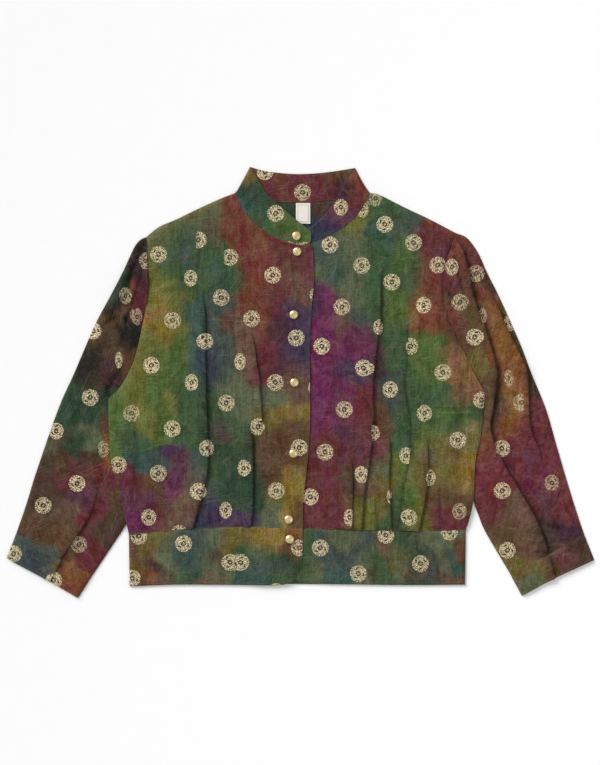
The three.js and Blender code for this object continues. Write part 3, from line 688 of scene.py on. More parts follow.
def clothMaterial(name):
    material = bpy.data.materials.new(name)
    material.use_nodes = True
    tree = material.node_tree
    shader = tree.nodes["Principled BSDF"]
    shader.inputs["Sheen Weight"].default_value = clothFinish["sheen"]
    shader.inputs["Sheen Roughness"].default_value = clothFinish["sheenRoughness"]
    shader.inputs["Specular IOR Level"].default_value = clothFinish["specular"]
    coords = tree.nodes.new("ShaderNodeAttribute")
    coords.attribute_name = "cloth"
    coords = coords.outputs["Vector"]
    dye = tree.nodes.new("ShaderNodeAttribute")
    dye.attribute_name = "dye"
    # brushed streaks and mottling in the dye, and its uneven threads
    streak = noiseNode(tree, mapped(tree, coords, 0, (1 / 7, 1 / 60, 1)), 1.0, 4.0, 0.6, 0.6)
    blotch = noiseNode(tree, coords, 1 / 16, 5.0, 0.8, 0.62)
    grain = noiseNode(tree, coords, 0.45, 3.0)
    warpThread = noiseNode(tree, mapped(tree, coords, 0, (0.7, 1 / 30, 1)), 1.0, 2.0)
    weftThread = noiseNode(tree, mapped(tree, coords, 0, (1 / 26, 0.7, 1)), 1.0, 2.0)
    hues = noiseNode(tree, mapped(tree, coords, 0, (1 / 14, 1 / 40, 1), (3, 7, 0)), 1.0, 4.0, 0.8, 0.6)
    value = between(tree, streak.outputs["Fac"], 0.3, 0.7, *mottling["streak"])
    for source, key in ((blotch, "blotch"), (grain, "grain"), (warpThread, "warpThread"),
                        (weftThread, "weftThread")):
        value = calc(tree, "ADD", value, between(tree, source.outputs["Fac"], 0.3, 0.7, *mottling[key]))
    tone = tree.nodes.new("ShaderNodeHueSaturation")
    link(tree, dye.outputs["Color"], tone.inputs["Color"])
    link(tree, calc(tree, "MULTIPLY", calc(tree, "ADD", value, 1.0), clothFinish["light"]),
         tone.inputs["Value"])
    link(tree, between(tree, blotch.outputs["Fac"], 0.3, 0.7, *clothFinish["saturation"]),
         tone.inputs["Saturation"])
    link(tree, between(tree, hues.outputs["Fac"], 0.3, 0.7, *clothFinish["hue"]), tone.inputs["Hue"])
    colour = tone.outputs["Color"]
    marks = None
    for turn, across, along, patch, seed in crushedLines:
        line = strokeLines(tree, coords, turn, across, along, patch, seed)
        marks = line if marks is None else calc(tree, "MAXIMUM", marks, line)
    paler = blendColour(tree, 0.5, colour, (0.30, 0.26, 0.18))
    faint = calc(tree, "MULTIPLY", marks, clothFinish["paleLines"])
    colour = blendColour(tree, faint, colour, paler)
    # topstitching, the worn edges and the thread round the buttonholes
    toStitch, along, toEdge = attributeParts(tree, "hem")
    offLine = calc(tree, "ABSOLUTE", calc(tree, "SUBTRACT", toStitch, clothFinish["stitchIn"]))
    onLine = between(tree, offLine, 0.25, 0.55, 1.0, 0.0)
    step = calc(tree, "FRACT", calc(tree, "MULTIPLY", along, 1 / clothFinish["stitchPitch"]))
    stitch = calc(tree, "MULTIPLY", onLine, calc(tree, "LESS_THAN", step, 0.68))
    worn = between(tree, calc(tree, "ADD", calc(tree, "ABSOLUTE", toEdge), grain.outputs["Fac"]), 0.9,
                   2.4, 1.0, 0.0)
    bound = calc(tree, "MULTIPLY", calc(tree, "LESS_THAN", toEdge, -0.01),
                 calc(tree, "GREATER_THAN", toEdge, -2.2))
    pale = calc(tree, "MAXIMUM", calc(tree, "MULTIPLY", stitch, clothFinish["paleStitch"]),
                calc(tree, "MULTIPLY", worn, clothFinish["paleWear"]))
    pale = calc(tree, "MAXIMUM", pale, calc(tree, "MULTIPLY", bound, clothFinish["paleHole"]))
    colour = blendColour(tree, pale, colour, paler)
    cover, bare = rosetteNodes(tree)
    shadow = tree.nodes.new("ShaderNodeHueSaturation")
    link(tree, colour, shadow.inputs["Color"])
    shadow.inputs["Value"].default_value = clothFinish["printShade"]
    gold = blendColour(tree, grain.outputs["Fac"], clothFinish["printGold"],
                       [v * 0.62 for v in clothFinish["printGold"]])
    gold = blendColour(tree, bare, gold, shadow.outputs["Color"])
    kept = between(tree, grain.outputs["Fac"], 0.25, 0.45, 0.86, 1.0)
    colour = blendColour(tree, calc(tree, "MULTIPLY", cover, kept), colour, gold)
    link(tree, colour, shader.inputs["Base Color"])
    shine = calc(tree, "MULTIPLY", cover, calc(tree, "SUBTRACT", 1.0, bare))
    link(tree, calc(tree, "MULTIPLY", shine, 0.25), shader.inputs["Metallic"])
    rough = calc(tree, "MULTIPLY_ADD", blotch.outputs["Fac"], 0.16, clothFinish["roughness"] - 0.08)
    link(tree, calc(tree, "MULTIPLY_ADD", shine, -0.14, rough), shader.inputs["Roughness"])
    # weave, stitching and fine creasing as relief
    weave = None
    for way in ("X", "Y"):
        wave = tree.nodes.new("ShaderNodeTexWave")
        wave.bands_direction = way
        wave.inputs["Scale"].default_value = 0.36
        wave.inputs["Distortion"].default_value = 0.6
        link(tree, coords, wave.inputs["Vector"])
        weave = wave.outputs["Fac"] if weave is None else calc(tree, "MULTIPLY", weave,
                                                               wave.outputs["Fac"])
    creasing = noiseNode(tree, coords, 1 / 11, 4.0, 1.2, 0.6)
    relief = calc(tree, "MULTIPLY", marks, clothFinish["lineRise"])
    relief = calc(tree, "MULTIPLY_ADD", weave, clothFinish["weaveRise"], relief)
    relief = calc(tree, "MULTIPLY_ADD", creasing.outputs["Fac"], clothFinish["creaseRise"], relief)
    relief = calc(tree, "SUBTRACT", relief, calc(tree, "MULTIPLY", onLine, clothFinish["seamDip"]))
    relief = calc(tree, "MULTIPLY_ADD", stitch, clothFinish["stitchRise"], relief)
    bump = tree.nodes.new("ShaderNodeBump")
    bump.inputs["Strength"].default_value = clothFinish["reliefStrength"]
    bump.inputs["Distance"].default_value = clothFinish["reliefHeight"]
    link(tree, relief, bump.inputs["Height"])
    link(tree, bump.outputs["Normal"], shader.inputs["Normal"])
    return material


printed = clothMaterial("printedCloth")
print("cloth material made")


def settle(obj, node, material=None):
    obj.data.materials.clear()
    obj.data.materials.append(material or printed)
    if node:
        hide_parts(node)
    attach(obj, "root")
    return obj


# Back panel, wrong side up inside the neck
backPiece = {
    "spacing": 4.6,
    "top": 0.8,
    "seed": 5,
    "rosettes": [(262, 222), (160, 330), (430, 330)],
    "dyes": {
        # the bark stroke from 312,206 to 330,214 is painted shade: darker dye inside the neck, under the
        # collar
        "bark": [(10, 312, 206, 330, 214)], "olive": [(9, 272, 222, 280, 230)],
        "pine": [(16, 290, 214, 292, 216)],
        "navy": [(12, 300, 226, 318, 232)], "bottle": [(40, 200, 260, 230, 300)],
        "umber": [(40, 400, 260, 420, 290)],
        "moss": [(40, 160, 350, 170, 380)], "rust": [(50, 300, 320, 310, 360)],
        "wine": [(45, 430, 370, 440, 400)],
        "teal": [(45, 220, 430, 230, 460)], "plum": [(45, 330, 460, 350, 480)],
        "leaf": [(40, 420, 480, 430, 500)],
        "magenta": [(40, 150, 470, 160, 500)],
    },
}
rim = rimOf([rightSide, rightArmholeLow, rightArmholeHigh, rightShoulder, backNeck[::-1], leftShoulder,
             leftArmholeHigh, leftArmholeLow, leftSide, waistLeft, waistLap, waistRight], 4.4)
xy, faces = meshInside(rim, backPiece["spacing"])
xyz = np.column_stack([xy, backPiece["top"] + lift(xy)])
bodyBack = clothObject("bodyBack", xyz, faces, dyed(xy, backPiece["dyes"], backPiece["seed"]),
                       rosettePlaces(xy, backPiece["rosettes"], 1),
                       np.column_stack([xy, np.zeros(len(xy))]),
                       hemPlaces(xy, [backNeck], rim), look["clothWall"])
settle(bodyBack, "body_back")
print("back made:", len(bodyBack.data.polygons), "faces")

# How much the right side rises where it lies over the left
overlapRise = 2.0

# Buttons: node, the piece that has its hole, x, y and the height that it sits at
buttonPlaces = [
    ("button_collar", "collar", -6, 219.5, 5.9), ("button_1", "front", -5, 196, 4.7),
    ("button_2", "front", -10, 101.5, 4.7), ("button_3", "front", -9, 0, 4.7),
    ("button_4", "front", -10.5, -106, 4.7), ("button_5", "front", -17.5, -205, 4.7),
    ("button_6", "band", -16, -234.5, 5.9),
]


def holesOf(piece):
    run = holePiece["collarRun" if piece == "collar" else "run"]
    return [(x - run, x + holePiece["pastButton"], y) for _, on, x, y, _ in buttonPlaces if on == piece]


# Front panels: stitched tucks, soft folds and pressed creases
rightFront = {
    "spacing": 3.3,
    "seed": 11,
    "rosettes": [
        (158.7, 254.5), (198.5, 240, "left", 2.5), (190.8, 278.3, "narrow", 0.78),
        (230, 257.5, "left", 6), (272.8, 275.3), (172.8, 320.5), (221.3, 297.8), (251.7, 318.7),
        (296.3, 338), (205, 341.3), (151.7, 365.3), (240, 361.7, "narrow", 0.68),
        (191.7, 382.5, "narrow", 0.8), (275.3, 382.5), (132, 413.3, "faint"), (172.5, 428.7),
        (226.3, 403), (257.5, 426.7, "narrow", 0.86), (118.8, 464.7), (206.7, 448, "narrow", 0.88),
        (243.7, 467.8, "narrow", 0.7), (299.2, 447.5), (158.7, 473), (198.3, 491), (276.3, 490.5),
        (149, 517, "narrow", 0.88), (225.8, 510, "narrow", 0.74), (179.3, 533), (263.5, 535.5),
        (318, 295), (316.5, 387.5),
    ],
    "dyes": {
        "khaki": [(9, 150, 240, 200, 210), (7, 205, 206, 216, 200)],
        "sage": [(9, 182, 226, 216, 212), (11, 232, 378, 238, 408), (10, 262, 399, 285, 403),
                 (9, 275, 506, 268, 520)],
        "bottle": [(11, 162, 240, 188, 230), (13, 200, 250, 230, 282), (11, 168, 262, 196, 285),
                   (9, 216, 232, 222, 250), (10, 190, 385, 188, 440), (9, 136, 445, 128, 432),
                   (12, 215, 410, 236, 438), (9, 212, 470, 224, 472)],
        "slate": [(8, 188, 238, 187, 262), (9, 206, 315, 226, 302), (10, 222, 350, 228, 376),
                  (9, 150, 462, 160, 470), (9, 195, 465, 200, 490)],
        "moss": [(10, 153, 256, 150, 300), (10, 170, 290, 184, 300), (12, 150, 342, 158, 350),
                 (11, 128, 380, 142, 352), (9, 130, 402, 146, 424), (8, 166, 402, 172, 412)],
        "mustard": [(9, 160, 300, 178, 330), (8, 150, 318, 164, 340), (6, 278, 414, 308, 411),
                    (9, 294, 472, 292, 510)],
        "copper": [(4, 146, 316, 160, 312)],
        "leaf": [(12, 165, 354, 180, 380), (12, 150, 394, 168, 422), (11, 115, 392, 112, 442),
                 (9, 182, 325, 186, 346)],
        "teal": [(8, 197, 305, 194, 366), (8, 214, 266, 222, 284), (8, 134, 452, 141, 462)],
        "pine": [(8, 208, 388, 208, 442), (9, 250, 430, 250, 505), (10, 214, 452, 236, 498)],
        "navy": [(8, 208, 345, 212, 382), (7, 207, 500, 206, 522), (8, 297, 340, 300, 352)],
        "rust": [(10, 228, 206, 233, 230), (12, 250, 222, 265, 250), (13, 262, 262, 256, 302),
                 (10, 258, 316, 262, 334)],
        "wine": [(9, 282, 238, 286, 258), (11, 281, 288, 272, 312), (13, 268, 342, 272, 374),
                 (9, 301, 262, 304, 284), (9, 125, 478, 136, 488), (9, 150, 510, 160, 520)],
        "mole": [(10, 293, 262, 300, 292), (10, 240, 322, 245, 366), (13, 294, 372, 300, 402),
                 (9, 184, 506, 166, 522), (8, 211, 226, 214, 236), (9, 196, 478, 192, 500)],
        "violet": [(10, 288, 308, 300, 324), (9, 290, 350, 302, 362), (10, 214, 516, 246, 523),
                   (5, 166, 447, 178, 449)],
        "aubergine": [(8, 275, 322, 281, 336), (9, 286, 364, 278, 372)],
        "olive": [(8, 264, 413, 276, 418), (9, 271, 488, 284, 500)],
        "umber": [(12, 262, 438, 300, 432), (10, 262, 456, 300, 462), (8, 264, 480, 278, 470),
                  (7, 302, 520, 300, 506), (8, 150, 485, 158, 500)],
        "plum": [(7, 221, 425, 226, 436), (8, 176, 456, 176, 484), (9, 118, 498, 146, 502)],
        "magenta": [(9, 168, 478, 172, 492), (9, 126, 506, 138, 520)],
    },
    "folds": [
        {"line": [(-146, 149), (-145, 44), (-144, -26), (-141, -119), (-150, -165), (-164, -218)],
         "side": -1, "height": 4.0, "fades": (60, 0), "soft": 5, "paintedShade": 0.5},
        {"line": [(-76, -60), (-74, -110), (-74, -184), (-78, -217)],
         "side": -1, "height": 3.6, "fades": (30, 0), "soft": 5, "paintedShade": 0.5},
        {"line": [(-72, 82), (-70, 38), (-64, 4), (-59, -86)],
         "side": -1, "height": 3.4, "fades": (40, 40), "soft": 4.5, "paintedShade": 0.42},
    ],
    "creases": [
        (36, 2.8, 0, 0, (-210, 150), (-198, 0), (-190, -150)),
        (22, -1.6, 0, 0.12, (-172, 190), (-178, 60), (-170, -40)),
        (24, 2.4, 0, 0, (-120, 200), (-126, 90), (-122, -20)),
        (24, 2.4, 0, 0, (-232, -20), (-222, -110), (-215, -210)),
        (16, 2.4, 0, 0, (-110, -100), (-118, -205)),
        (12, -1.8, 0, 0.15, (-250, 0), (-245, -90), (-238, -180)),
        (18, 1.2, 0, 0, (-50, 150), (-44, 60), (-48, -30)),
        (3.5, 1.0, 1, -0.3, (-160, 95), (-110, 92), (-10, 88)),
        (3.5, 1.0, 1, -0.2, (-120, 100), (-60, 97), (-6, 96)),
        (4, 1.2, 1, -0.25, (-248, -108), (-200, -92), (-168, -104)),
        (4, 1.2, 1, -0.2, (-68, -134), (7, -108)), (4, 1.0, 1, -0.2, (-70, -95), (-24, -97)),
        (5, 1.0, 0.8, -0.15, (-95, 180), (-60, 150), (-40, 110)),
        (5, 1.0, 0.8, -0.15, (-60, 215), (-30, 165), (-18, 150)),
        (4, 1.6, 0.6, 0.3, (-140, -190), (-136, -216)), (4, 1.6, 0.6, 0.3, (-124, -186), (-122, -216)),
        (7, 1.7, 0.4, 0.2, (-200, -170), (-205, -220)), (7, 1.6, 0.4, 0.2, (-228, -175), (-236, -222)),
        (8, 1.4, 0.4, 0.12, (-20, -110), (-48, -150), (-62, -200)),
        (6, 1.0, 0.6, -0.12, (-210, 60), (-160, 20), (-150, -40)),
        (6, 1.0, 0.6, -0.12, (-150, 60), (-190, 10), (-230, -20)),
        (7, 1.1, 0.5, -0.12, (-225, 130), (-190, 150), (-150, 140)),
        (5, -1.2, 0.7, 0.25, (-152, 222), (-150, 190), (-153, 160)),
        (6, -1.2, 0.6, 0.2, (-104, 120), (-98, 60), (-92, 20)),
        (5, 1.1, 0.7, -0.15, (-190, 205), (-150, 175), (-120, 185)),
        (5, 1.0, 0.7, -0.15, (-128, 215), (-108, 180), (-100, 150)),
        (6, 1.2, 0.6, -0.12, (-215, -125), (-196, -160), (-190, -195)),
        (5, 1.0, 0.7, -0.1, (-90, 60), (-40, 30), (0, 20)),
    ],
}
leftFront = {
    "spacing": 3.3,
    "seed": 17,
    "rosettes": [
        (330, 245), (361.7, 265.8), (391.7, 282.2), (413.3, 242.8), (384.7, 224.6),
        (362.5, 209.5, "narrow", 0.72), (375.5, 198.5, "narrow", 0.8, "faint"), (437.5, 265.3),
        (341.7, 307.2), (423.3, 305.3, "narrow", 0.9), (377.8, 327.5, "narrow", 0.6), (321.7, 346.3),
        (411.7, 346.3, "narrow", 0.75), (363.3, 368), (442.5, 372.5), (390, 389.5, "narrow", 0.92),
        (481, 400), (344.2, 409.5), (424.2, 413.3, "narrow", 0.9), (371.5, 433, "left", 2.4), (325, 452),
        (405.5, 455.5, "narrow", 0.76), (457.5, 440), (360.3, 474, "narrow", 0.66),
        (429.5, 477.5, "narrow", 0.7), (310.3, 496.7), (388.4, 496, "narrow", 0.4),
        (347.8, 517, "narrow", 0.5), (409.5, 517, "narrow", 0.8), (459, 511, "narrow", 0.86, "faint"),
    ],
    "dyes": {
        "bottle": [(12, 372, 208, 400, 220), (12, 386, 245, 376, 288), (10, 372, 300, 380, 336),
                   (9, 395, 332, 392, 360), (11, 412, 385, 430, 396), (10, 446, 398, 478, 403),
                   (10, 432, 420, 452, 424), (10, 395, 500, 392, 522), (10, 402, 408, 404, 440),
                   (9, 415, 298, 412, 262)],
        "moss": [(8, 348, 230, 362, 215), (9, 392, 470, 412, 478), (7, 424, 508, 418, 522),
                 (7, 360, 506, 362, 522), (10, 430, 446, 446, 470)],
        "slate": [(9, 330, 238, 312, 262), (9, 397, 230, 410, 222), (10, 392, 382, 395, 404),
                  (8, 352, 318, 360, 324)],
        "teal": [(10, 328, 258, 337, 272), (8, 380, 234, 388, 240)],
        "sage": [(11, 350, 250, 352, 300), (9, 322, 272, 330, 264), (9, 385, 470, 372, 468)],
        "leaf": [(10, 392, 298, 398, 322), (13, 433, 346, 428, 372), (12, 426, 430, 450, 413),
                 (10, 408, 470, 404, 500), (8, 402, 262, 404, 242)],
        "rust": [(12, 424, 268, 430, 300), (9, 440, 240, 436, 228), (9, 418, 320, 446, 322),
                 (9, 455, 300, 450, 280)],
        "copper": [(9, 425, 294, 413, 318), (8, 440, 312, 434, 326)],
        "wine": [(10, 352, 402, 356, 425), (11, 432, 238, 448, 262), (9, 456, 268, 460, 310),
                 (10, 367, 395, 373, 455), (12, 318, 446, 352, 456), (9, 315, 480, 312, 516),
                 (9, 436, 510, 452, 522), (10, 330, 468, 342, 512)],
        "plum": [(9, 352, 345, 372, 342), (7, 445, 248, 440, 254), (10, 346, 430, 354, 446)],
        "magenta": [(9, 322, 290, 336, 306), (12, 350, 348, 368, 340), (9, 320, 356, 330, 372),
                    (13, 322, 388, 352, 405), (9, 318, 420, 331, 412), (8, 330, 325, 322, 336)],
        "violet": [(8, 338, 373, 362, 375), (7, 315, 282, 318, 300)],
        "tan": [(11, 456, 362, 472, 388), (8, 462, 398, 478, 391)],
        "mole": [(8, 345, 318, 340, 332), (9, 362, 472, 368, 486), (9, 430, 456, 440, 462)],
        "khaki": [(9, 456, 440, 478, 432)],
        "mustard": [(8, 462, 464, 464, 484), (5, 388, 492, 392, 482)],
        "olive": [(9, 424, 470, 432, 486), (10, 446, 450, 450, 480), (8, 350, 502, 356, 520),
                  (9, 376, 485, 380, 506)],
        "bark": [(8, 348, 470, 352, 498)],
        "umber": [(11, 440, 495, 462, 500), (8, 457, 335, 462, 346), (8, 378, 410, 382, 430)],
        "aubergine": [(7, 378, 356, 380, 372)],
    },
    "folds": [
        {"line": [(76, -100), (75, -160), (74, -220)],
         "side": -1, "height": 3.2, "fades": (40, 0), "soft": 4.5},
        {"line": [(128, 185), (118, 150), (116, 90), (106, 8), (106, -59), (100, -121), (93, -160),
                  (89, -220)],
         "side": -1, "height": 4.0, "fades": (50, 0), "soft": 5, "paintedShade": 0.45},
        {"line": [(134, -70), (131, -121), (130, -161), (134, -220)],
         "side": -1, "height": 3.4, "fades": (40, 0), "soft": 4.5},
        {"line": [(163, 110), (164, 38), (161, -7), (169, -56), (166, -121), (160, -151), (150, -221)],
         "side": 1, "height": 3.8, "fades": (60, 0), "soft": 4.5},
        {"line": [(188, -60), (187, -150), (174, -221)],
         "side": -1, "height": 3.2, "fades": (60, 0), "soft": 4.5},
    ],
    "creases": [
        (28, 2.4, 0, 0, (60, 200), (68, 110), (75, 20)),
        (32, 2.8, 0, 0, (188, 190), (196, 100), (200, 0)),
        (28, 2.6, 0, 0, (226, -10), (222, -100), (216, -200)),
        (20, 2.0, 0, 0, (50, -40), (48, -120), (46, -200)),
        (18, -1.6, 0, 0.12, (150, 200), (145, 120), (140, 30)),
        (12, -1.6, 0, 0.15, (241, 40), (243, -40), (236, -150)),
        (3.5, 1.0, 1, -0.25, (197, -46), (275, -45)), (3.5, 1.0, 1, -0.15, (186, -36), (270, -36)),
        (4, 1.2, 1, -0.2, (136, 35), (180, 34)), (4, 1.4, 0.8, 0.25, (176, 98), (176, 68)),
        (5, 1.2, 0.9, -0.2, (50, -97), (100, -92), (150, -86)),
        (6, 1.0, 0.7, -0.12, (30, 180), (60, 150), (90, 100)),
        (8, 1.3, 0.5, 0.12, (25, 90), (45, 40), (50, -10)),
        (6, 1.2, 0.7, -0.12, (200, 160), (180, 110), (178, 60)),
        (6, 1.7, 0.5, 0.25, (110, -165), (112, -219)), (6, 1.7, 0.5, 0.25, (165, -170), (166, -219)),
        (7, 1.8, 0.5, 0.2, (205, -165), (208, -219)), (6, 1.6, 0.5, 0.2, (228, -170), (232, -219)),
        (6, 1.5, 0.5, 0.2, (55, -175), (56, -219)), (7, 1.2, 0.5, -0.1, (210, 60), (235, 0), (240, -60)),
        (7, 1.2, 0.5, -0.1, (150, 215), (175, 205), (205, 215)),
        (5, -1.3, 0.6, 0.25, (160, 190), (152, 160), (150, 120)),
        (6, 1.2, 0.6, -0.12, (62, 205), (50, 150), (56, 100)),
        (5, 1.1, 0.7, -0.12, (130, 120), (165, 80), (196, 74)),
        (5, 1.1, 0.7, -0.12, (20, -40), (60, -64), (96, -60)),
        (6, 1.2, 0.6, 0.12, (212, 150), (206, 90), (212, 30)),
    ],
}


# Heights of a front above the table: the lowest that it lies, where it lies flat, how it
# waves, the share of that at its overlap, and its edges
frontLevels = {"low": 2.0, "top": 2.6, "waves": 0.9, "atOverlap": 0.25, "edge": 1.2, "armhole": 1.6}


def frontPanel(name, node, piece, edges, lapRise, roundings, stitched, holes=()):
    rim = rimOf(edges, 3.2)
    xy, faces = meshInside(rim, piece["spacing"], piece["folds"], holes, piece["creases"])
    raised = lift(xy)
    shift = foldShift(xy, piece["folds"])
    level = np.maximum(ease(-46, -62, xy[:, 0]), ease(24, 40, xy[:, 0]))
    waves, atOverlap = frontLevels["waves"], frontLevels["atOverlap"]
    z = frontLevels["top"] + raised + lapRise(xy)
    swell = creaseRise(xy, piece["creases"]) + rumpled(xy, piece["seed"], waves) + waves
    z += swell * (atOverlap + (1 - atOverlap) * level) + shift[:, 2]
    z = np.maximum(z, frontLevels["low"] + raised + lapRise(xy))
    for line, reach, height in roundings:
        z = towardsEdge(z, xy, [(line, reach, height + raised)])
    xyz = np.column_stack([xy + shift[:, :2], z])
    dye = dyed(xy, piece["dyes"], piece["seed"])
    # painted shade along the folds and creases, and painted highlight on the paler creases, multiplied
    # into the dye
    dye[:, :3] *= paintedShadeAndLight(xy, piece["folds"], piece["creases"])
    obj = clothObject(name, xyz, faces, dye, rosettePlaces(xy, piece["rosettes"], piece["seed"]),
                      np.column_stack([xy, np.full(len(xy), piece["seed"] * 50.0)]),
                      hemPlaces(xy, stitched, rim, holes), look["clothWall"])
    settle(obj, node)
    print(name, "made:", len(obj.data.polygons), "faces")
    return obj


frontPanel("frontRight", "front_right", rightFront,
           [rightSide, rightArmholeLow, rightArmholeHigh, rightShoulder, rightNeck, rightEdge, waistLap,
            waistRight],
           lambda xy: overlapRise * ease(-78, -50, xy[:, 0]),
           [(rightSide, 9, frontLevels["edge"]), (rightArmholeLow, 9, frontLevels["edge"]),
            (rightArmholeHigh, 4, frontLevels["armhole"]), (rightShoulder, 7, frontLevels["edge"])],
           [rightEdge], holesOf("front"))
frontPanel("frontLeft", "front_left", leftFront,
           [leftEdge, leftNeck, leftShoulder, leftArmholeHigh, leftArmholeLow, leftSide, waistLeft,
            waistLap],
           lambda xy: 0.0 * xy[:, 0],
           [(leftSide, 9, frontLevels["edge"]), (leftArmholeLow, 9, frontLevels["edge"]),
            (leftArmholeHigh, 4, frontLevels["armhole"]), (leftShoulder, 7, frontLevels["edge"])],
           [leftEdge])

# Waistband, cut double
bandPiece = {
    "spacing": 2.8,
    "rosettesRight": [(183.8, 543.3), (139, 536), (230, 562), (240.8, 562.2), (299.5, 547.5),
                      (132.5, 578), (276, 591)],
    "rosettesLeft": [(320.3, 547.5), (385.8, 535), (420.3, 563.3), (358.3, 573.3), (449.2, 531.7)],
    "dyesRight": {
        "copper": [(4, 144, 575, 150, 578), (4, 288, 534, 296, 537)],
        "umber": [(8, 136, 548, 142, 557), (7, 134, 566, 142, 576), (5, 285, 548, 296, 551)],
        "bark": [(5, 212, 553, 224, 557), (5, 152, 563, 160, 568)],
        "olive": [(8, 146, 548, 160, 538), (8, 230, 541, 250, 536), (6, 132, 560, 138, 566)],
        "sage": [(9, 166, 545, 170, 566), (8, 214, 540, 206, 560), (7, 212, 576, 228, 566),
                 (6, 268, 545, 262, 553)],
        "slate": [(9, 182, 545, 200, 540), (9, 262, 562, 278, 566), (7, 194, 572, 190, 578)],
        "teal": [(9, 184, 562, 202, 552), (9, 246, 572, 262, 576)],
        "mole": [(6, 200, 578, 214, 572), (5, 160, 578, 170, 574)],
        "mustard": [(6, 262, 538, 276, 542)], "pine": [(9, 285, 562, 296, 573)],
        "bottle": [(8, 176, 577, 190, 573), (7, 270, 556, 250, 556), (7, 280, 578, 290, 580)],
    },
    "dyesLeft": {
        "bottle": [(9, 305, 540, 306, 575), (10, 375, 558, 385, 575), (8, 400, 545, 398, 560)],
        "slate": [(9, 322, 548, 334, 562), (8, 345, 560, 360, 548), (8, 432, 560, 430, 575)],
        "teal": [(6, 330, 575, 346, 578), (6, 450, 556, 456, 570)],
        "olive": [(5, 394, 568, 404, 550)], "pine": [(9, 411, 540, 418, 575)],
        "umber": [(4, 462, 545, 462, 560), (4, 404, 576, 410, 562)],
        "bark": [(5, 440, 576, 446, 556), (4, 372, 574, 380, 566)],
        "sage": [(9, 420, 538, 446, 538), (8, 366, 556, 360, 574), (8, 318, 568, 312, 578),
                 (8, 440, 552, 446, 568), (8, 338, 540, 348, 538), (7, 396, 574, 404, 566)],
        "mole": [(6, 384, 542, 392, 554), (5, 452, 578, 460, 578), (5, 420, 576, 428, 562)],
    },
    "creases": [
        (26, 1.2, 0, 0, (-200, -232), (-195, -300)), (24, 1.4, 0, 0, (-110, -232), (-118, -300)),
        (26, 1.3, 0, 0, (90, -232), (100, -300)), (28, 1.3, 0, 0, (175, -232), (168, -300)),
        (6, 1.1, 0.8, -0.15, (-230, -250), (-180, -290), (-150, -296)),
        (5, 1.0, 0.8, -0.15, (-90, -240), (-60, -270)),
        (6, 1.1, 0.8, -0.15, (120, -250), (160, -280)), (6, 1.0, 0.8, -0.15, (40, -240), (60, -285)),
        (6, 1.1, 0.8, -0.15, (200, -235), (230, -280)), (4, 1.0, 0.7, 0.2, (-130, -225), (-128, -250)),
        (4, 1.0, 0.7, 0.2, (108, -225), (112, -252)), (4, 1.0, 0.7, 0.2, (150, -225), (146, -250)),
        (5, 1.0, 0.7, 0.15, (-160, -300), (-150, -262), (-146, -240)),
        (5, 1.0, 0.7, 0.15, (140, -300), (128, -262), (130, -235)),
    ],
}


def bandSheet(name, node, edges, top, roundings, rosettes, dyes, creases, seed, wavy=1.0, stitched=(),
              holes=()):
    rim = rimOf(edges, 2.8)
    xy, faces = meshInside(rim, bandPiece["spacing"], (), holes, creases)
    z = top(xy) + wavy * (creaseRise(xy, creases) + rumpled(xy, seed, 0.35) + 0.3)
    z = np.maximum(z, top(xy))
    for line, reach, height in roundings:
        z = towardsEdge(z, xy, [(line, reach, height(xy) if callable(height) else height)])
    dye = dyed(xy, dyes, seed)
    # painted shade along the creases, and painted highlight on the paler ones, multiplied into the dye
    dye[:, :3] *= paintedShadeAndLight(xy, [], creases)
    obj = clothObject(name, np.column_stack([xy, z]), faces, dye, rosettePlaces(xy, rosettes, seed),
                      np.column_stack([xy, np.full(len(xy), seed * 50.0)]),
                      hemPlaces(xy, stitched, rim, holes),
                      look["bandWall"])
    settle(obj, node)
    print(name, "made:", len(obj.data.polygons), "faces")
    return obj


# Heights of the bands above the table: the front ones, and the one on the table
bandTop = 3.6
backBandTop = 1.5
bandSheet("waistbandBack", "waistband_back",
          [waistRight[::-1], waistLap[::-1], waistLeft[::-1], leftBandSide[::-1], backHem[::-1],
           rightBandSide[::-1]],
          lambda xy: backBandTop + 0 * xy[:, 0], [], [(200, 560), (300, 550), (400, 565)],
          {**bandPiece["dyesRight"], **bandPiece["dyesLeft"]}, bandPiece["creases"], 31, 0.0, [backHem])
rightBandTop = lambda xy: bandTop + overlapRise * ease(-84, -56, xy[:, 0])
bandSheet("waistbandRight", "waistband_right",
          [waistRight[::-1], waistLap[::-1], rightCorner[::-1], rightHem[::-1], rightBandSide[::-1]],
          rightBandTop,
          [(rightBandSide, 6, 1.9), (rightHem, 3, lambda xy: rightBandTop(xy) - 0.9),
           (rightCorner, 3, lambda xy: rightBandTop(xy) - 0.9),
           (waistRight, 2.5, lambda xy: rightBandTop(xy) - 0.8)],
          bandPiece["rosettesRight"], bandPiece["dyesRight"], bandPiece["creases"], 33, 1.0,
          [waistRight, rightHem, rightCorner], holesOf("band"))
leftBandTop = lambda xy: bandTop + 0 * xy[:, 0]
bandSheet("waistbandLeft", "waistband_left",
          [waistLap[::-1], waistLeft[::-1], leftBandSide[::-1], leftHem[::-1], leftCorner[::-1]],
          leftBandTop,
          [(leftBandSide, 6, 1.9), (leftHem, 3, lambda xy: leftBandTop(xy) - 0.9),
           (leftCorner, 3, lambda xy: leftBandTop(xy) - 0.9),
           (waistLeft, 2.5, lambda xy: leftBandTop(xy) - 0.8)],
          bandPiece["rosettesLeft"], bandPiece["dyesLeft"], bandPiece["creases"], 35, 1.0,
          [waistLeft, leftHem, leftCorner])

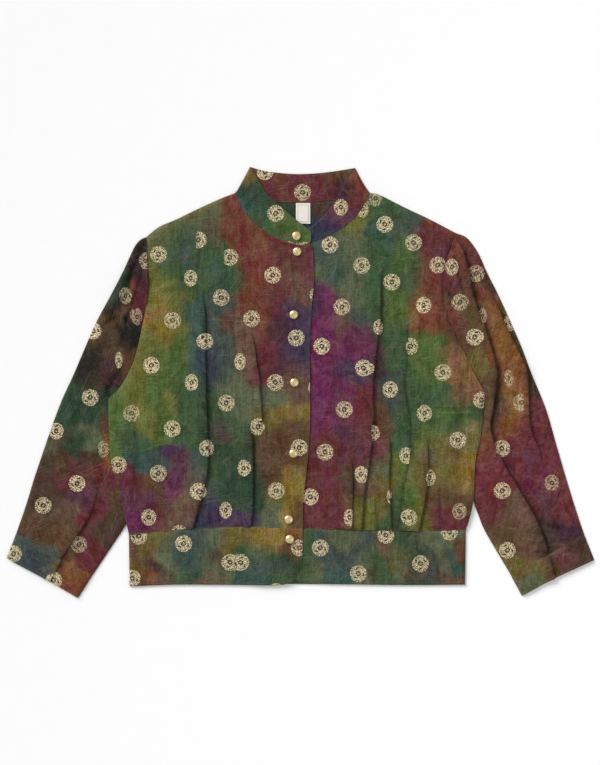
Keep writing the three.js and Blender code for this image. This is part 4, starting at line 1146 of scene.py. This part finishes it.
# Collar: one band folded at the sides of the neck, its right end over its left
collarPiece = {
    "rosettesRight": [(275.7, 213.8), (289, 250), (304, 250.5)],
    "rosettesBack": [(265, 172), (302.5, 192.5)],
    "rosettesLeft": [(340.8, 207.4, "narrow", 0.84)],
    "dyesRight": {
        "pine": [(9, 248, 190, 262, 206)], "bottle": [(9, 262, 216, 290, 239)],
        "leaf": [(8, 275, 223, 300, 239)],
        "olive": [(5, 243, 181, 250, 177)], "umber": [(4, 284, 231, 292, 236)],
        "teal": [(6, 245, 200, 254, 211)],
    },
    "dyesBack": {
        "wine": [(10, 262, 186, 330, 190)], "rust": [(8, 280, 180, 302, 195)],
        "umber": [(7, 325, 182, 345, 178)],
        "aubergine": [(5, 338, 193, 345, 180)],
    },
    "dyesLeft": {
        "rust": [(8, 351, 182, 359, 195)], "wine": [(8, 345, 205, 355, 200)],
        "plum": [(7, 338, 215, 346, 220)],
        "navy": [(8, 305, 240, 324, 231)], "violet": [(7, 328, 226, 338, 227)],
        "aubergine": [(5, 342, 186, 338, 200)],
    },
    "creases": [
        (5, 0.5, 0.6, -0.12, (-66, 290), (-50, 262), (-20, 240)),
        (4, 0.5, 0.7, 0.12, (-80, 280), (-62, 256), (-40, 236)),
        (5, 0.5, 0.6, -0.12, (70, 290), (52, 262), (30, 236)),
        (4, 0.5, 0.7, 0.12, (88, 285), (76, 262), (60, 248)),
        (5, 0.5, 0.6, -0.12, (-40, 300), (10, 296), (50, 302)),
    ],
}
bandSheet("collarBack", "collar",
          [collarBackTop, collarRightFold, backNeck[::-1], collarLeftFold],
          lambda xy: backBandTop + 0 * xy[:, 0], [(collarBackTop, 2.5, 0.9)],
          collarPiece["rosettesBack"], collarPiece["dyesBack"], collarPiece["creases"], 41, 0.4,
          [collarBackTop])
rightCollarTop = lambda xy: bandTop + overlapRise * ease(-64, -36, xy[:, 0])
collarRight = bandSheet("collarRight", None,
                        [collarRightTip, collarRightTop, collarRightFold, rightNeck],
                        rightCollarTop,
                        [(collarRightFold, 6, 1.6),
                         (collarRightTop, 2.5, lambda xy: rightCollarTop(xy) - 0.9),
                         (collarRightTip, 2.5, lambda xy: rightCollarTop(xy) - 0.9),
                         (rightNeck, 2.0, lambda xy: rightCollarTop(xy) - 0.7)],
                        collarPiece["rosettesRight"], collarPiece["dyesRight"], collarPiece["creases"],
                        43, 0.6, [collarRightTop, rightNeck], holesOf("collar"))
leftCollarTop = lambda xy: 3.0 + 0.6 * ease(40, 62, xy[:, 0])
collarLeft = bandSheet("collarLeft", None,
                       [collarLeftTop, collarLeftTip, leftNeck, collarLeftFold],
                       leftCollarTop,
                       [(collarLeftFold, 6, 1.6),
                        (collarLeftTop, 2.5, lambda xy: leftCollarTop(xy) - 0.9),
                        (leftNeck, 2.0, lambda xy: leftCollarTop(xy) - 0.7)],
                       collarPiece["rosettesLeft"], collarPiece["dyesLeft"], collarPiece["creases"],
                       45, 0.5, [leftNeck])
for piece in (collarRight, collarLeft):
    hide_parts("collar")

# Sleeves and cuffs: tubes pressed flat, closed along both long folds
rightSleeve = {
    "seed": 51,
    "rosettes": [
        (145.5, 261, "narrow", 0.75, "faint"), (125.8, 295.8, "narrow", 0.76, "faint"),
        (137.5, 317, "narrow", 0.6, "faint"), (93.5, 331), (119, 360, "narrow", 0.46), (90.5, 397.5),
        (56.6, 431, "narrow", 0.9), (103.6, 449, "narrow", 0.66, "faint"), (77.3, 483.4), (43.6, 505.3),
        (79.4, 544.2, "narrow", 0.95, "faint"),
    ],
    "dyes": {
        "black": [(10, 131, 250, 118, 286), (10, 95, 352, 88, 372), (6, 128, 326, 127, 340),
                  (7, 120, 300, 110, 312)],
        "pine": [(8, 115, 292, 122, 274), (12, 70, 402, 98, 402), (10, 60, 416, 84, 420),
                 (8, 72, 450, 84, 441)],
        "aubergine": [(6, 144, 258, 144, 290), (7, 112, 360, 108, 378)],
        "wine": [(6, 141, 280, 141, 316), (10, 96, 474, 110, 484), (10, 90, 522, 104, 504),
                 (9, 91, 560, 88, 540), (10, 66, 482, 76, 470)],
        # the thin copper stroke from 136,284 to 131,305 is a painted highlight: lighter dye along the lit
        # edge of the fold at the sleeve head
        "copper": [(2.5, 136, 284, 131, 305), (4, 105, 436, 106, 462), (8, 66, 573, 80, 580),
                   (3, 40, 562, 50, 567)],
        "bark": [(9, 100, 330, 112, 345), (10, 58, 440, 52, 462), (9, 44, 482, 36, 500),
                 (9, 98, 382, 108, 370), (9, 90, 460, 74, 474), (8, 58, 500, 48, 512),
                 (9, 118, 510, 100, 530)],
        "umber": [(5, 130, 304, 112, 317), (8, 64, 534, 72, 548), (7, 118, 345, 122, 366),
                  (9, 104, 318, 98, 338), (7, 62, 468, 66, 460), (8, 42, 522, 56, 528),
                  (7, 112, 502, 118, 490), (7, 28, 530, 40, 536), (4, 104, 410, 105, 428)],
        "sage": [(7, 84, 432, 94, 444), (6, 50, 452, 56, 446)],
        "plum": [(8, 70, 500, 88, 490)], "mole": [(8, 60, 514, 70, 508)],
        "rust": [(7, 80, 590, 88, 586)],
        "slate": [(8, 26, 545, 44, 554)],
    },
    "folds": [
        {"line": [(-231.3, 169.4), (-239.4, 145.8), (-249.6, 115.7), (-256.2, 92.3), (-261.2, 68.9),
                  (-267.9, 50.4), (-274, 36)],
         "side": 1, "height": 4.8, "fades": (12, 26), "reach": 20, "soft": 4.5, "paintedShade": 0.75},
        {"line": [(-299, -137), (-316, -194), (-354, -251), (-368, -272)],
         "side": -1, "height": 2.4, "fades": (90, 0), "reach": 18, "soft": 6, "paintedShade": 0.4},
    ],
    "creases": [
        (16, 3.4, 0, 0, (-244, 205), (-268, 150), (-292, 90), (-322, 10)),
        (7, -3.4, 0.5, 0.75, (-231, 216), (-242.7, 192.7), (-249.5, 174.3), (-256.2, 155.9), (-262, 140)),
        (9, -2.6, 0.3, 0.7, (-254, 34), (-265.4, 25.4), (-279.6, 6.8), (-293, -20), (-300, -40)),
        (4, 1.6, 0.6, -0.35, (-245, 150), (-249, 135), (-253, 118)),
        (5, -2.2, 0.6, 0.5, (-231, 206), (-236, 180), (-240, 158)),
        (8, 2.0, 0.5, -0.1, (-242, 130), (-256, 105), (-276, 92)),
        (7, -2.0, 0.5, 0.35, (-262, 88), (-280, 96), (-304, 76)),
        (22, 2.8, 0, 0, (-330, -20), (-352, -90), (-374, -170)),
        (16, 2.4, 0, 0, (-296, -50), (-306, -120), (-318, -190)),
        (16, 2.0, 0, 0, (-395, -180), (-384, -230)),
        (14, 2.2, 0, 0, (-335, -205), (-342, -262)),
        (8, 1.6, 0.6, 0.2, (-318, 20), (-290, -10), (-296, -60)),
        (7, 1.6, 0.6, -0.15, (-370, -70), (-340, -100), (-305, -100)),
        (7, 1.5, 0.6, -0.15, (-385, -130), (-350, -150), (-315, -140)),
        (6, 1.3, 0.6, -0.15, (-400, -195), (-370, -215)), (6, 1.3, 0.6, -0.12, (-350, -60), (-330, -30)),
        (9, -1.8, 0.3, 0.25, (-262, 40), (-272, 0), (-262, -60)),
        (7, -1.6, 0.4, 0.25, (-372, -180), (-392, -190), (-404, -180)),
        (6, 1.3, 0.6, -0.15, (-345, 20), (-320, -20), (-310, -50)),
        (7, -1.5, 0.5, 0.2, (-352, -225), (-340, -190), (-330, -140)),
    ],
}
leftSleeve = {
    "seed": 57,
    "rosettes": [
        (451.6, 267.3, "narrow", 0.78), (476, 273.5, "faint"), (459.6, 302.6, "faint"),
        (482.3, 316.5, "narrow", 0.5, "faint"), (474.2, 337.3), (510.5, 322.5, "narrow", 0.8),
        (508.5, 378.3, "narrow", 0.56, "faint"), (521, 402.3, "right", 1.5, "faint"), (501.5, 448.3),
        (501.9, 490.6), (551.5, 482.7, "narrow", 0.86, "faint"), (507.2, 550),
    ],
    "dyes": {
        "rust": [(8, 456, 240, 470, 250), (8, 450, 316, 456, 326), (8, 478, 290, 486, 300),
                 (9, 488, 437, 482, 456)],
        "wine": [(8, 475, 252, 482, 263), (8, 453, 280, 460, 290), (6, 562, 556, 572, 554),
                 (8, 560, 510, 556, 500), (9, 486, 500, 494, 512), (9, 540, 420, 546, 432),
                 (9, 532, 500, 540, 508)],
        "pine": [(5, 494, 288, 512, 325), (4, 516, 336, 524, 352)],
        # the bark stroke from 494,372 to 495,420 is painted shade: dark dye along the shadowed side of
        # the fold
        "bark": [(6, 484, 276, 492, 292), (6, 494, 372, 495, 420), (9, 541, 522, 546, 546),
                 (6, 530, 374, 535, 392)],
        "copper": [(10, 490, 306, 502, 336), (11, 506, 345, 506, 378), (9, 512, 418, 500, 434),
                   (8, 517, 380, 520, 402)],
        "amber": [(7, 500, 340, 507, 360), (7, 509, 386, 514, 404)],
        "olive": [(6, 474, 360, 484, 374), (8, 507, 560, 520, 564)],
        "mustard": [(4, 518, 404, 514, 412)],
        "umber": [(10, 456, 304, 470, 288), (8, 482, 385, 484, 425), (10, 505, 522, 520, 536),
                  (9, 460, 326, 470, 342), (7, 468, 316, 478, 312), (8, 500, 395, 496, 420)],
        "crimson": [(10, 530, 410, 534, 440), (10, 548, 440, 556, 478), (10, 490, 465, 492, 492),
                    (10, 518, 470, 510, 446), (8, 570, 500, 564, 490), (10, 532, 472, 540, 490)],
        "magenta": [(4, 524, 478, 529, 492)],
        "plum": [(6, 523, 456, 528, 466), (6, 541, 494, 547, 502)],
        "mole": [(10, 508, 512, 528, 546)], "aubergine": [(8, 546, 516, 560, 530)],
    },
    "folds": [
        {"line": [(235, 214), (242, 191), (250, 165), (256, 129), (265, 103), (274, 81), (289, 30),
                  (292, 10), (290, -11), (286, -35), (281, -65), (287, -89), (300, -120), (319, -151),
                  (334, -178), (348, -201), (357, -222), (366, -248)],
         "side": -1, "height": 5.4, "fades": (20, 0), "reach": 22, "soft": 6, "paintedShade": 0.6},
        {"line": [(283, 146), (296, 104), (318, 57), (335, 22), (338, 4), (339, -46), (344, -78),
                  (357, -105), (364, -132)],
         "side": -1, "height": 4.2, "fades": (50, 40), "reach": 20, "soft": 6, "paintedShade": 0.45},
    ],
    "creases": [
        (12, 2.4, 0, 0, (258, 190), (280, 130), (300, 70), (315, 0)),
        (12, 1.8, 0, 0, (226, 150), (240, 100), (262, 40)),
        (5, -2.4, 0.6, 0.5, (228, 200), (235, 172), (242, 142), (250, 118)),
        (5, -2.2, 0.6, 0.6, (220, 140), (226, 128), (230, 122)),
        (18, 2.6, 0, 0, (312, -30), (334, -100), (350, -160)),
        (16, 2.2, 0, 0, (352, -40), (370, -110), (386, -170)),
        (14, 2.0, 0, 0, (290, -150), (300, -190), (312, -225)), (14, 2.0, 0, 0, (392, -190), (404, -225)),
        (6, -1.8, 0.6, 0.45, (225, 136), (230, 128), (236, 122)),
        (7, 1.5, 0.6, -0.12, (300, -10), (320, -40), (335, -60)),
        (6, 1.2, 0.6, -0.12, (290, -210), (330, -232), (360, -240)),
        (8, -2.2, 0.4, 0.45, (358, -204), (372, -214), (398, -220)),
        (6, 1.5, 0.6, -0.15, (372, -204), (392, -196), (414, -214)),
        (7, -1.6, 0.4, 0.35, (399, -152), (386, -172), (382, -190)),
        (6, 1.3, 0.6, -0.12, (372, -150), (390, -170), (400, -200)),
        (7, 1.5, 0.5, -0.1, (262, 150), (276, 110), (284, 84)),
        (6, 1.2, 0.6, 0.15, (345, -20), (360, -70), (366, -100)),
        (6, 1.2, 0.6, -0.12, (268, -130), (290, -120), (305, -140)),
    ],
}
sleeveTilt = 0.285
# Heights of a tube above the table: the top of a sleeve and of a cuff, the layer
# underneath and the folded edges, and how far in those round over
tubeLevels = {"sleeve": 2.3, "cuff": 3.5, "under": 0.25, "edge": 1.1, "round": 8, "underRound": 5,
              "underSpacing": 7.0}


# The body lies on a sleeve below the first of the heights, and inwards of the first of
# the distances past its own side; past the second of each it doesn't
bodyReach = {"heights": (84, 96), "distances": (-2, 10)}


def bodyCover(xy, boundary, outwards):
    # 1 where the body lies on the sleeve, and 0 where it doesn't
    xs = np.interp(xy[:, 1], [p[1] for p in boundary], [p[0] for p in boundary])
    low, high = bodyReach["heights"]
    near, far = bodyReach["distances"]
    return ease(high, low, xy[:, 1]) * ease(far, near, (xy[:, 0] - xs) * outwards)


def tubePiece(name, node, piece, outer, inner, ends, top, spacing, wall, tilt, cover=None, rumple=0.8,
              stitched=()):
    edges = [outer, ends[0], inner, ends[1]]
    rim = rimOf(edges, 3.0)
    folds = piece["folds"]
    xy, faces = meshInside(rim, spacing, folds, (), piece["creases"])
    shift = foldShift(xy, folds)
    loft = creaseRise(xy, piece["creases"]) + rumpled(xy, piece["seed"], rumple) + rumple + shift[:, 2]
    if cover is not None:
        keep = 1 - cover(xy)
        loft *= keep
        shift[:, :2] *= keep[:, None]
    z = top + np.maximum(loft, 0)
    z = towardsEdge(z, xy, [(line, tubeLevels["round"], tubeLevels["edge"]) for line in (outer, inner)])
    upper = np.column_stack([xy + shift[:, :2], z])
    # the layer underneath shares the long folds with the one above
    low, lowFaces = meshInside(rim, tubeLevels["underSpacing"])
    lowZ = towardsEdge(np.full(len(low), tubeLevels["under"]), low,
                       [(line, tubeLevels["underRound"], tubeLevels["edge"]) for line in (outer, inner)])
    lower = np.column_stack([low, lowZ])
    index = {}
    match = {(round(x, 2), round(y, 2)): i for i, (x, y) in enumerate(xy)}
    points = [tuple(p) for p in upper]
    for i, (x, y) in enumerate(low):
        key = (round(x, 2), round(y, 2))
        if key in match and lowZ[i] > tubeLevels["edge"] - 0.05:
            index[i] = match[key]
        else:
            index[i] = len(points)
            points.append(tuple(lower[i]))
    allFaces = list(faces) + [tuple(index[k] for k in reversed(face)) for face in lowFaces]
    flat = np.vstack([xy, [low[i] for i in range(len(low)) if index[i] >= len(xy)]])
    layers = np.array([0.0] * len(xy) + [900.0] * (len(flat) - len(xy)))
    cos, sin = math.cos(tilt), math.sin(tilt)
    along = np.column_stack([flat[:, 0] * cos + flat[:, 1] * sin, flat[:, 1] * cos - flat[:, 0] * sin,
                             layers + piece["seed"] * 50.0])
    rosette = rosettePlaces(flat, piece["rosettes"], piece["seed"])
    dye = dyed(flat, piece["dyes"], piece["seed"])
    # painted shade along the folds and creases, and painted highlight on the paler creases, multiplied
    # into the dye
    dye[:, :3] *= paintedShadeAndLight(flat, folds, piece["creases"])
    obj = clothObject(name, np.array(points), allFaces, dye, rosette, along,
                      hemPlaces(flat, stitched, rim), wall)
    settle(obj, node)
    print(name, "made:", len(obj.data.polygons), "faces")
    return obj


rightCover = sorted([*rightArmholeLow, *rightSide[:-1]], key=lambda p: p[1])
leftCover = sorted([*leftArmholeLow, *leftSide[1:]], key=lambda p: p[1])
tubePiece("sleeveRight", "sleeve_right", rightSleeve, rightSleeveOuter, rightSleeveInner,
          (rightCuffSeam, rightArmholeHigh), tubeLevels["sleeve"], 3.3, look["clothWall"], sleeveTilt,
          lambda xy: bodyCover(xy, rightCover, -1))
tubePiece("sleeveLeft", "sleeve_left", leftSleeve, leftSleeveOuter[::-1], leftSleeveInner[::-1],
          (leftCuffSeam[::-1], leftArmholeHigh[::-1]), tubeLevels["sleeve"], 3.3, look["clothWall"],
          -sleeveTilt, lambda xy: bodyCover(xy, leftCover, 1))

rightCuff = {
    "seed": 61,
    "rosettes": [(14, 553.5), (54, 580)],
    "dyes": {
        "navy": [(6, 22, 556, 40, 566)], "slate": [(7, 14, 552, 50, 568)],
        "copper": [(8, 64, 572, 84, 584)],
        "olive": [(4, 56, 566, 56, 574)], "rust": [(6, 78, 592, 88, 584)],
        "sage": [(5, 10, 556, 14, 550)],
    },
    "folds": [{"line": [(-350, -246), (-363, -270), (-379, -298)],
               "side": -1, "height": 1.8, "fades": (0, 0), "reach": 14, "soft": 5, "paintedShade": 0.5}],
    "creases": [(10, 1.0, 0, 0, (-410, -240), (-405, -275)),
                (4, 0.7, 0.7, -0.12, (-425, -246), (-400, -262), (-372, -272))],
}
leftCuff = {
    "seed": 65,
    "rosettes": [],
    "dyes": {
        "olive": [(8, 512, 572, 536, 568)], "sage": [(9, 520, 588, 532, 580)],
        "mole": [(7, 550, 562, 560, 556)],
        "umber": [(8, 546, 575, 552, 570)], "bark": [(9, 575, 552, 590, 548)],
        "wine": [(6, 560, 560, 572, 556)],
    },
    "folds": [{"line": [(362, -243), (371, -264), (380, -297)],
               "side": -1, "height": 1.8, "fades": (0, 0), "reach": 14, "soft": 5, "paintedShade": 0.5}],
    "creases": [(10, 1.0, 0, 0, (410, -245), (418, -272)),
                (4, 0.7, 0.7, -0.12, (388, -262), (408, -256), (430, -262))],
}
tubePiece("cuffRight", "cuff_right", rightCuff, rightCuffOuter, rightCuffInner,
          (rightCuffEnd, rightCuffSeam[::-1]), tubeLevels["cuff"], 2.8, look["bandWall"],
          sleeveTilt, None, 0.3, [rightCuffSeam, rightCuffEnd])
tubePiece("cuffLeft", "cuff_left", leftCuff, leftCuffOuter[::-1], leftCuffInner[::-1],
          (leftCuffEnd[::-1], leftCuffSeam), tubeLevels["cuff"], 2.8, look["bandWall"],
          -sleeveTilt, None, 0.3, [leftCuffSeam, leftCuffEnd])

# Neck label: a bare woven tape
labelPiece = {"low": (-6.75, 238), "top": (14.75, 269), "height": 2.3}


def tapeMaterial():
    material = bpy.data.materials.new("labelTape")
    material.use_nodes = True
    tree = material.node_tree
    shader = tree.nodes["Principled BSDF"]
    shader.inputs["Roughness"].default_value = 0.6
    shader.inputs["Specular IOR Level"].default_value = 0.3
    shader.inputs["Sheen Weight"].default_value = 0.1
    coords = tree.nodes.new("ShaderNodeTexCoord").outputs["Object"]
    rib = tree.nodes.new("ShaderNodeTexWave")
    rib.bands_direction = "Y"
    rib.inputs["Scale"].default_value = 420.0
    rib.inputs["Distortion"].default_value = 0.4
    link(tree, coords, rib.inputs["Vector"])
    fleck = noiseNode(tree, coords, 900.0, 2.0)
    shade = calc(tree, "MULTIPLY_ADD", rib.outputs["Fac"], 0.35,
                 calc(tree, "MULTIPLY", fleck.outputs["Fac"], 0.5))
    _, _, edge = attributeParts(tree, "hem")
    border = calc(tree, "MULTIPLY", between(tree, edge, 2.3, 2.6),
                  between(tree, edge, 3.2, 3.5, 1.0, 0.0))
    colour = blendColour(tree, shade, (0.70, 0.65, 0.58), (0.90, 0.87, 0.81))
    colour = blendColour(tree, calc(tree, "MULTIPLY", border, 0.75), colour, (0.34, 0.29, 0.25))
    link(tree, colour, shader.inputs["Base Color"])
    bump = tree.nodes.new("ShaderNodeBump")
    bump.inputs["Distance"].default_value = 0.0003
    bump.inputs["Strength"].default_value = 0.5
    link(tree, shade, bump.inputs["Height"])
    link(tree, bump.outputs["Normal"], shader.inputs["Normal"])
    return material


x0, y0 = labelPiece["low"]
x1, y1 = labelPiece["top"]
rim = rimOf([[(x0, y0), (x1, y0)], [(x1, y0), (x1, y1)], [(x1, y1), (x0, y1)], [(x0, y1), (x0, y0)]], 1.6)
xy, faces = meshInside(rim, 1.6)
z = labelPiece["height"] + 0.25 * noiseAt(xy, 9, 3) + 0.25 * ease(y1, y0, xy[:, 1])
z = towardsEdge(z, xy, [(np.vstack([rim, rim[:1]]), 1.2, labelPiece["height"] - 0.35)])
zeros = np.zeros((len(xy), 3))
neckLabel = clothObject("neckLabel", np.column_stack([xy, z]), faces, np.ones((len(xy), 4)), zeros, zeros,
                        hemPlaces(xy, [], rim), 0.7)
settle(neckLabel, "neck_label", tapeMaterial())
print("label made")

# Buttons: gilt domes on shanks
buttonPiece = {"radius": 6.75, "rim": 1.1, "dome": 3.5, "sides": 40}


def giltMaterial():
    material = bpy.data.materials.new("giltBrass")
    material.use_nodes = True
    tree = material.node_tree
    shader = tree.nodes["Principled BSDF"]
    shader.inputs["Metallic"].default_value = 0.85
    coords = tree.nodes.new("ShaderNodeTexCoord").outputs["Object"]
    wear = noiseNode(tree, coords, 260.0, 4.0, 0.4)
    fine = noiseNode(tree, coords, 1500.0, 2.0)
    share = between(tree, wear.outputs["Fac"], 0.35, 0.68)
    link(tree, blendColour(tree, share, (0.70, 0.52, 0.24), (0.90, 0.74, 0.43)),
         shader.inputs["Base Color"])
    link(tree, calc(tree, "MULTIPLY_ADD", wear.outputs["Fac"], 0.25, 0.20), shader.inputs["Roughness"])
    bump = tree.nodes.new("ShaderNodeBump")
    bump.inputs["Distance"].default_value = 0.0002
    bump.inputs["Strength"].default_value = 0.3
    link(tree, fine.outputs["Fac"], bump.inputs["Height"])
    link(tree, bump.outputs["Normal"], shader.inputs["Normal"])
    return material


gilt = giltMaterial()


def faceAtTop(obj, up):
    # selects the highest (or lowest) flat face
    mesh = obj.data
    for part in (mesh.vertices, mesh.edges, mesh.polygons):
        part.foreach_set("select", [False] * len(part))
    picked = max(mesh.polygons, key=lambda p: (p.normal.z * up > 0.9, p.center.z * up))
    picked.select = True


def buttonMesh():
    bpy.ops.object.select_all(action="DESELECT")
    bpy.ops.mesh.primitive_cylinder_add(vertices=buttonPiece["sides"],
                                        radius=buttonPiece["radius"] / 1000,
                                        depth=buttonPiece["rim"] / 1000,
                                        location=(0, 0, buttonPiece["rim"] / 2000))
    button = bpy.context.active_object
    bpy.ops.object.transform_apply(location=True, rotation=True, scale=True)
    faceAtTop(button, 1)
    bpy.ops.object.mode_set(mode="EDIT")
    bpy.ops.mesh.select_mode(type="FACE")
    steps = 9
    radius, dome = buttonPiece["radius"], buttonPiece["dome"]
    reached = 0.0
    for i in range(1, steps):
        a = math.pi / 2 * i / steps
        inset = radius * (math.cos(math.pi / 2 * (i - 1) / steps) - math.cos(a))
        rise = dome * math.sin(a) - reached
        reached += rise
        bpy.ops.mesh.inset(thickness=inset / 1000, depth=0)
        bpy.ops.transform.translate(value=(0, 0, rise / 1000))
    bpy.ops.object.mode_set(mode="OBJECT")
    faceAtTop(button, -1)
    bpy.ops.object.mode_set(mode="EDIT")
    bpy.ops.mesh.inset(thickness=(radius - 1.5) / 1000, depth=0)
    bpy.ops.mesh.extrude_region_move(TRANSFORM_OT_translate={"value": (0, 0, -0.0019)})
    bpy.ops.object.mode_set(mode="OBJECT")
    soften = button.modifiers.new("soften", "BEVEL")
    soften.width = 0.00035
    soften.segments = 2
    soften.limit_method = "ANGLE"
    soften.angle_limit = math.radians(40)
    bpy.ops.object.modifier_apply(modifier="soften")
    bpy.ops.object.shade_smooth_by_angle(angle=math.radians(45))
    return button


pattern = buttonMesh()
for node, _, x, y, seat in buttonPlaces:
    button = bpy.data.objects.new(node.replace("button_", "domeButton_"), pattern.data.copy())
    bpy.context.collection.objects.link(button)
    for vertex in button.data.vertices:
        vertex.co += Vector((x, y, seat)) / 1000
    settle(button, node, gilt)
bpy.data.objects.remove(pattern)
print("buttons made")

# Pale table, soft light and the camera straight above
stageParts = {
    "cameraHeight": 2.709, "lens": 85, "world": 0.58, "sun": 2.7, "sunAngle": 28, "fill": 6.0,
    "tableShade": (0.935, 0.955),
}


def tableMaterial():
    material = bpy.data.materials.new("tableTop")
    material.use_nodes = True
    tree = material.node_tree
    shader = tree.nodes["Principled BSDF"]
    shader.inputs["Roughness"].default_value = 0.9
    coords = tree.nodes.new("ShaderNodeTexCoord").outputs["Object"]
    low, top = ((v, v, v) for v in stageParts["tableShade"])
    link(tree, blendColour(tree, noiseNode(tree, coords, 40.0, 4.0).outputs["Fac"], low, top),
         shader.inputs["Base Color"])
    return material


bpy.ops.object.select_all(action="DESELECT")
bpy.ops.mesh.primitive_plane_add(size=14, location=(0, 0, -0.0003))
table = bpy.context.active_object
table.name = "tableTop"
table.data.materials.append(tableMaterial())

world = bpy.data.worlds.new("studio")
bpy.context.scene.world = world
world.use_nodes = True
world.node_tree.nodes["Background"].inputs["Color"].default_value = (1, 1, 1, 1)
world.node_tree.nodes["Background"].inputs["Strength"].default_value = stageParts["world"]


def lamp(name, kind, place, power):
    data = bpy.data.lights.new(name, kind)
    data.energy = power
    made = bpy.data.objects.new(name, data)
    bpy.context.collection.objects.link(made)
    made.location = place
    made.rotation_euler = (-Vector(place)).to_track_quat("-Z", "Y").to_euler()
    return data


lamp("keyLight", "SUN", (-1.7, 1.6, 1.25), stageParts["sun"]).angle = math.radians(stageParts["sunAngle"])
lamp("fillLight", "AREA", (1.6, -0.6, 1.8), stageParts["fill"]).size = 1.6

cameraData = bpy.data.cameras.new("camera")
cameraData.lens = stageParts["lens"]
cameraData.sensor_width = 36
camera = bpy.data.objects.new("camera", cameraData)
bpy.context.collection.objects.link(camera)
camera.location = (-0.0006, 0, stageParts["cameraHeight"])
camera.rotation_euler = (0, 0, 0)
bpy.context.scene.camera = camera
bpy.context.scene.view_settings.view_transform = "Standard"
print("stage set")
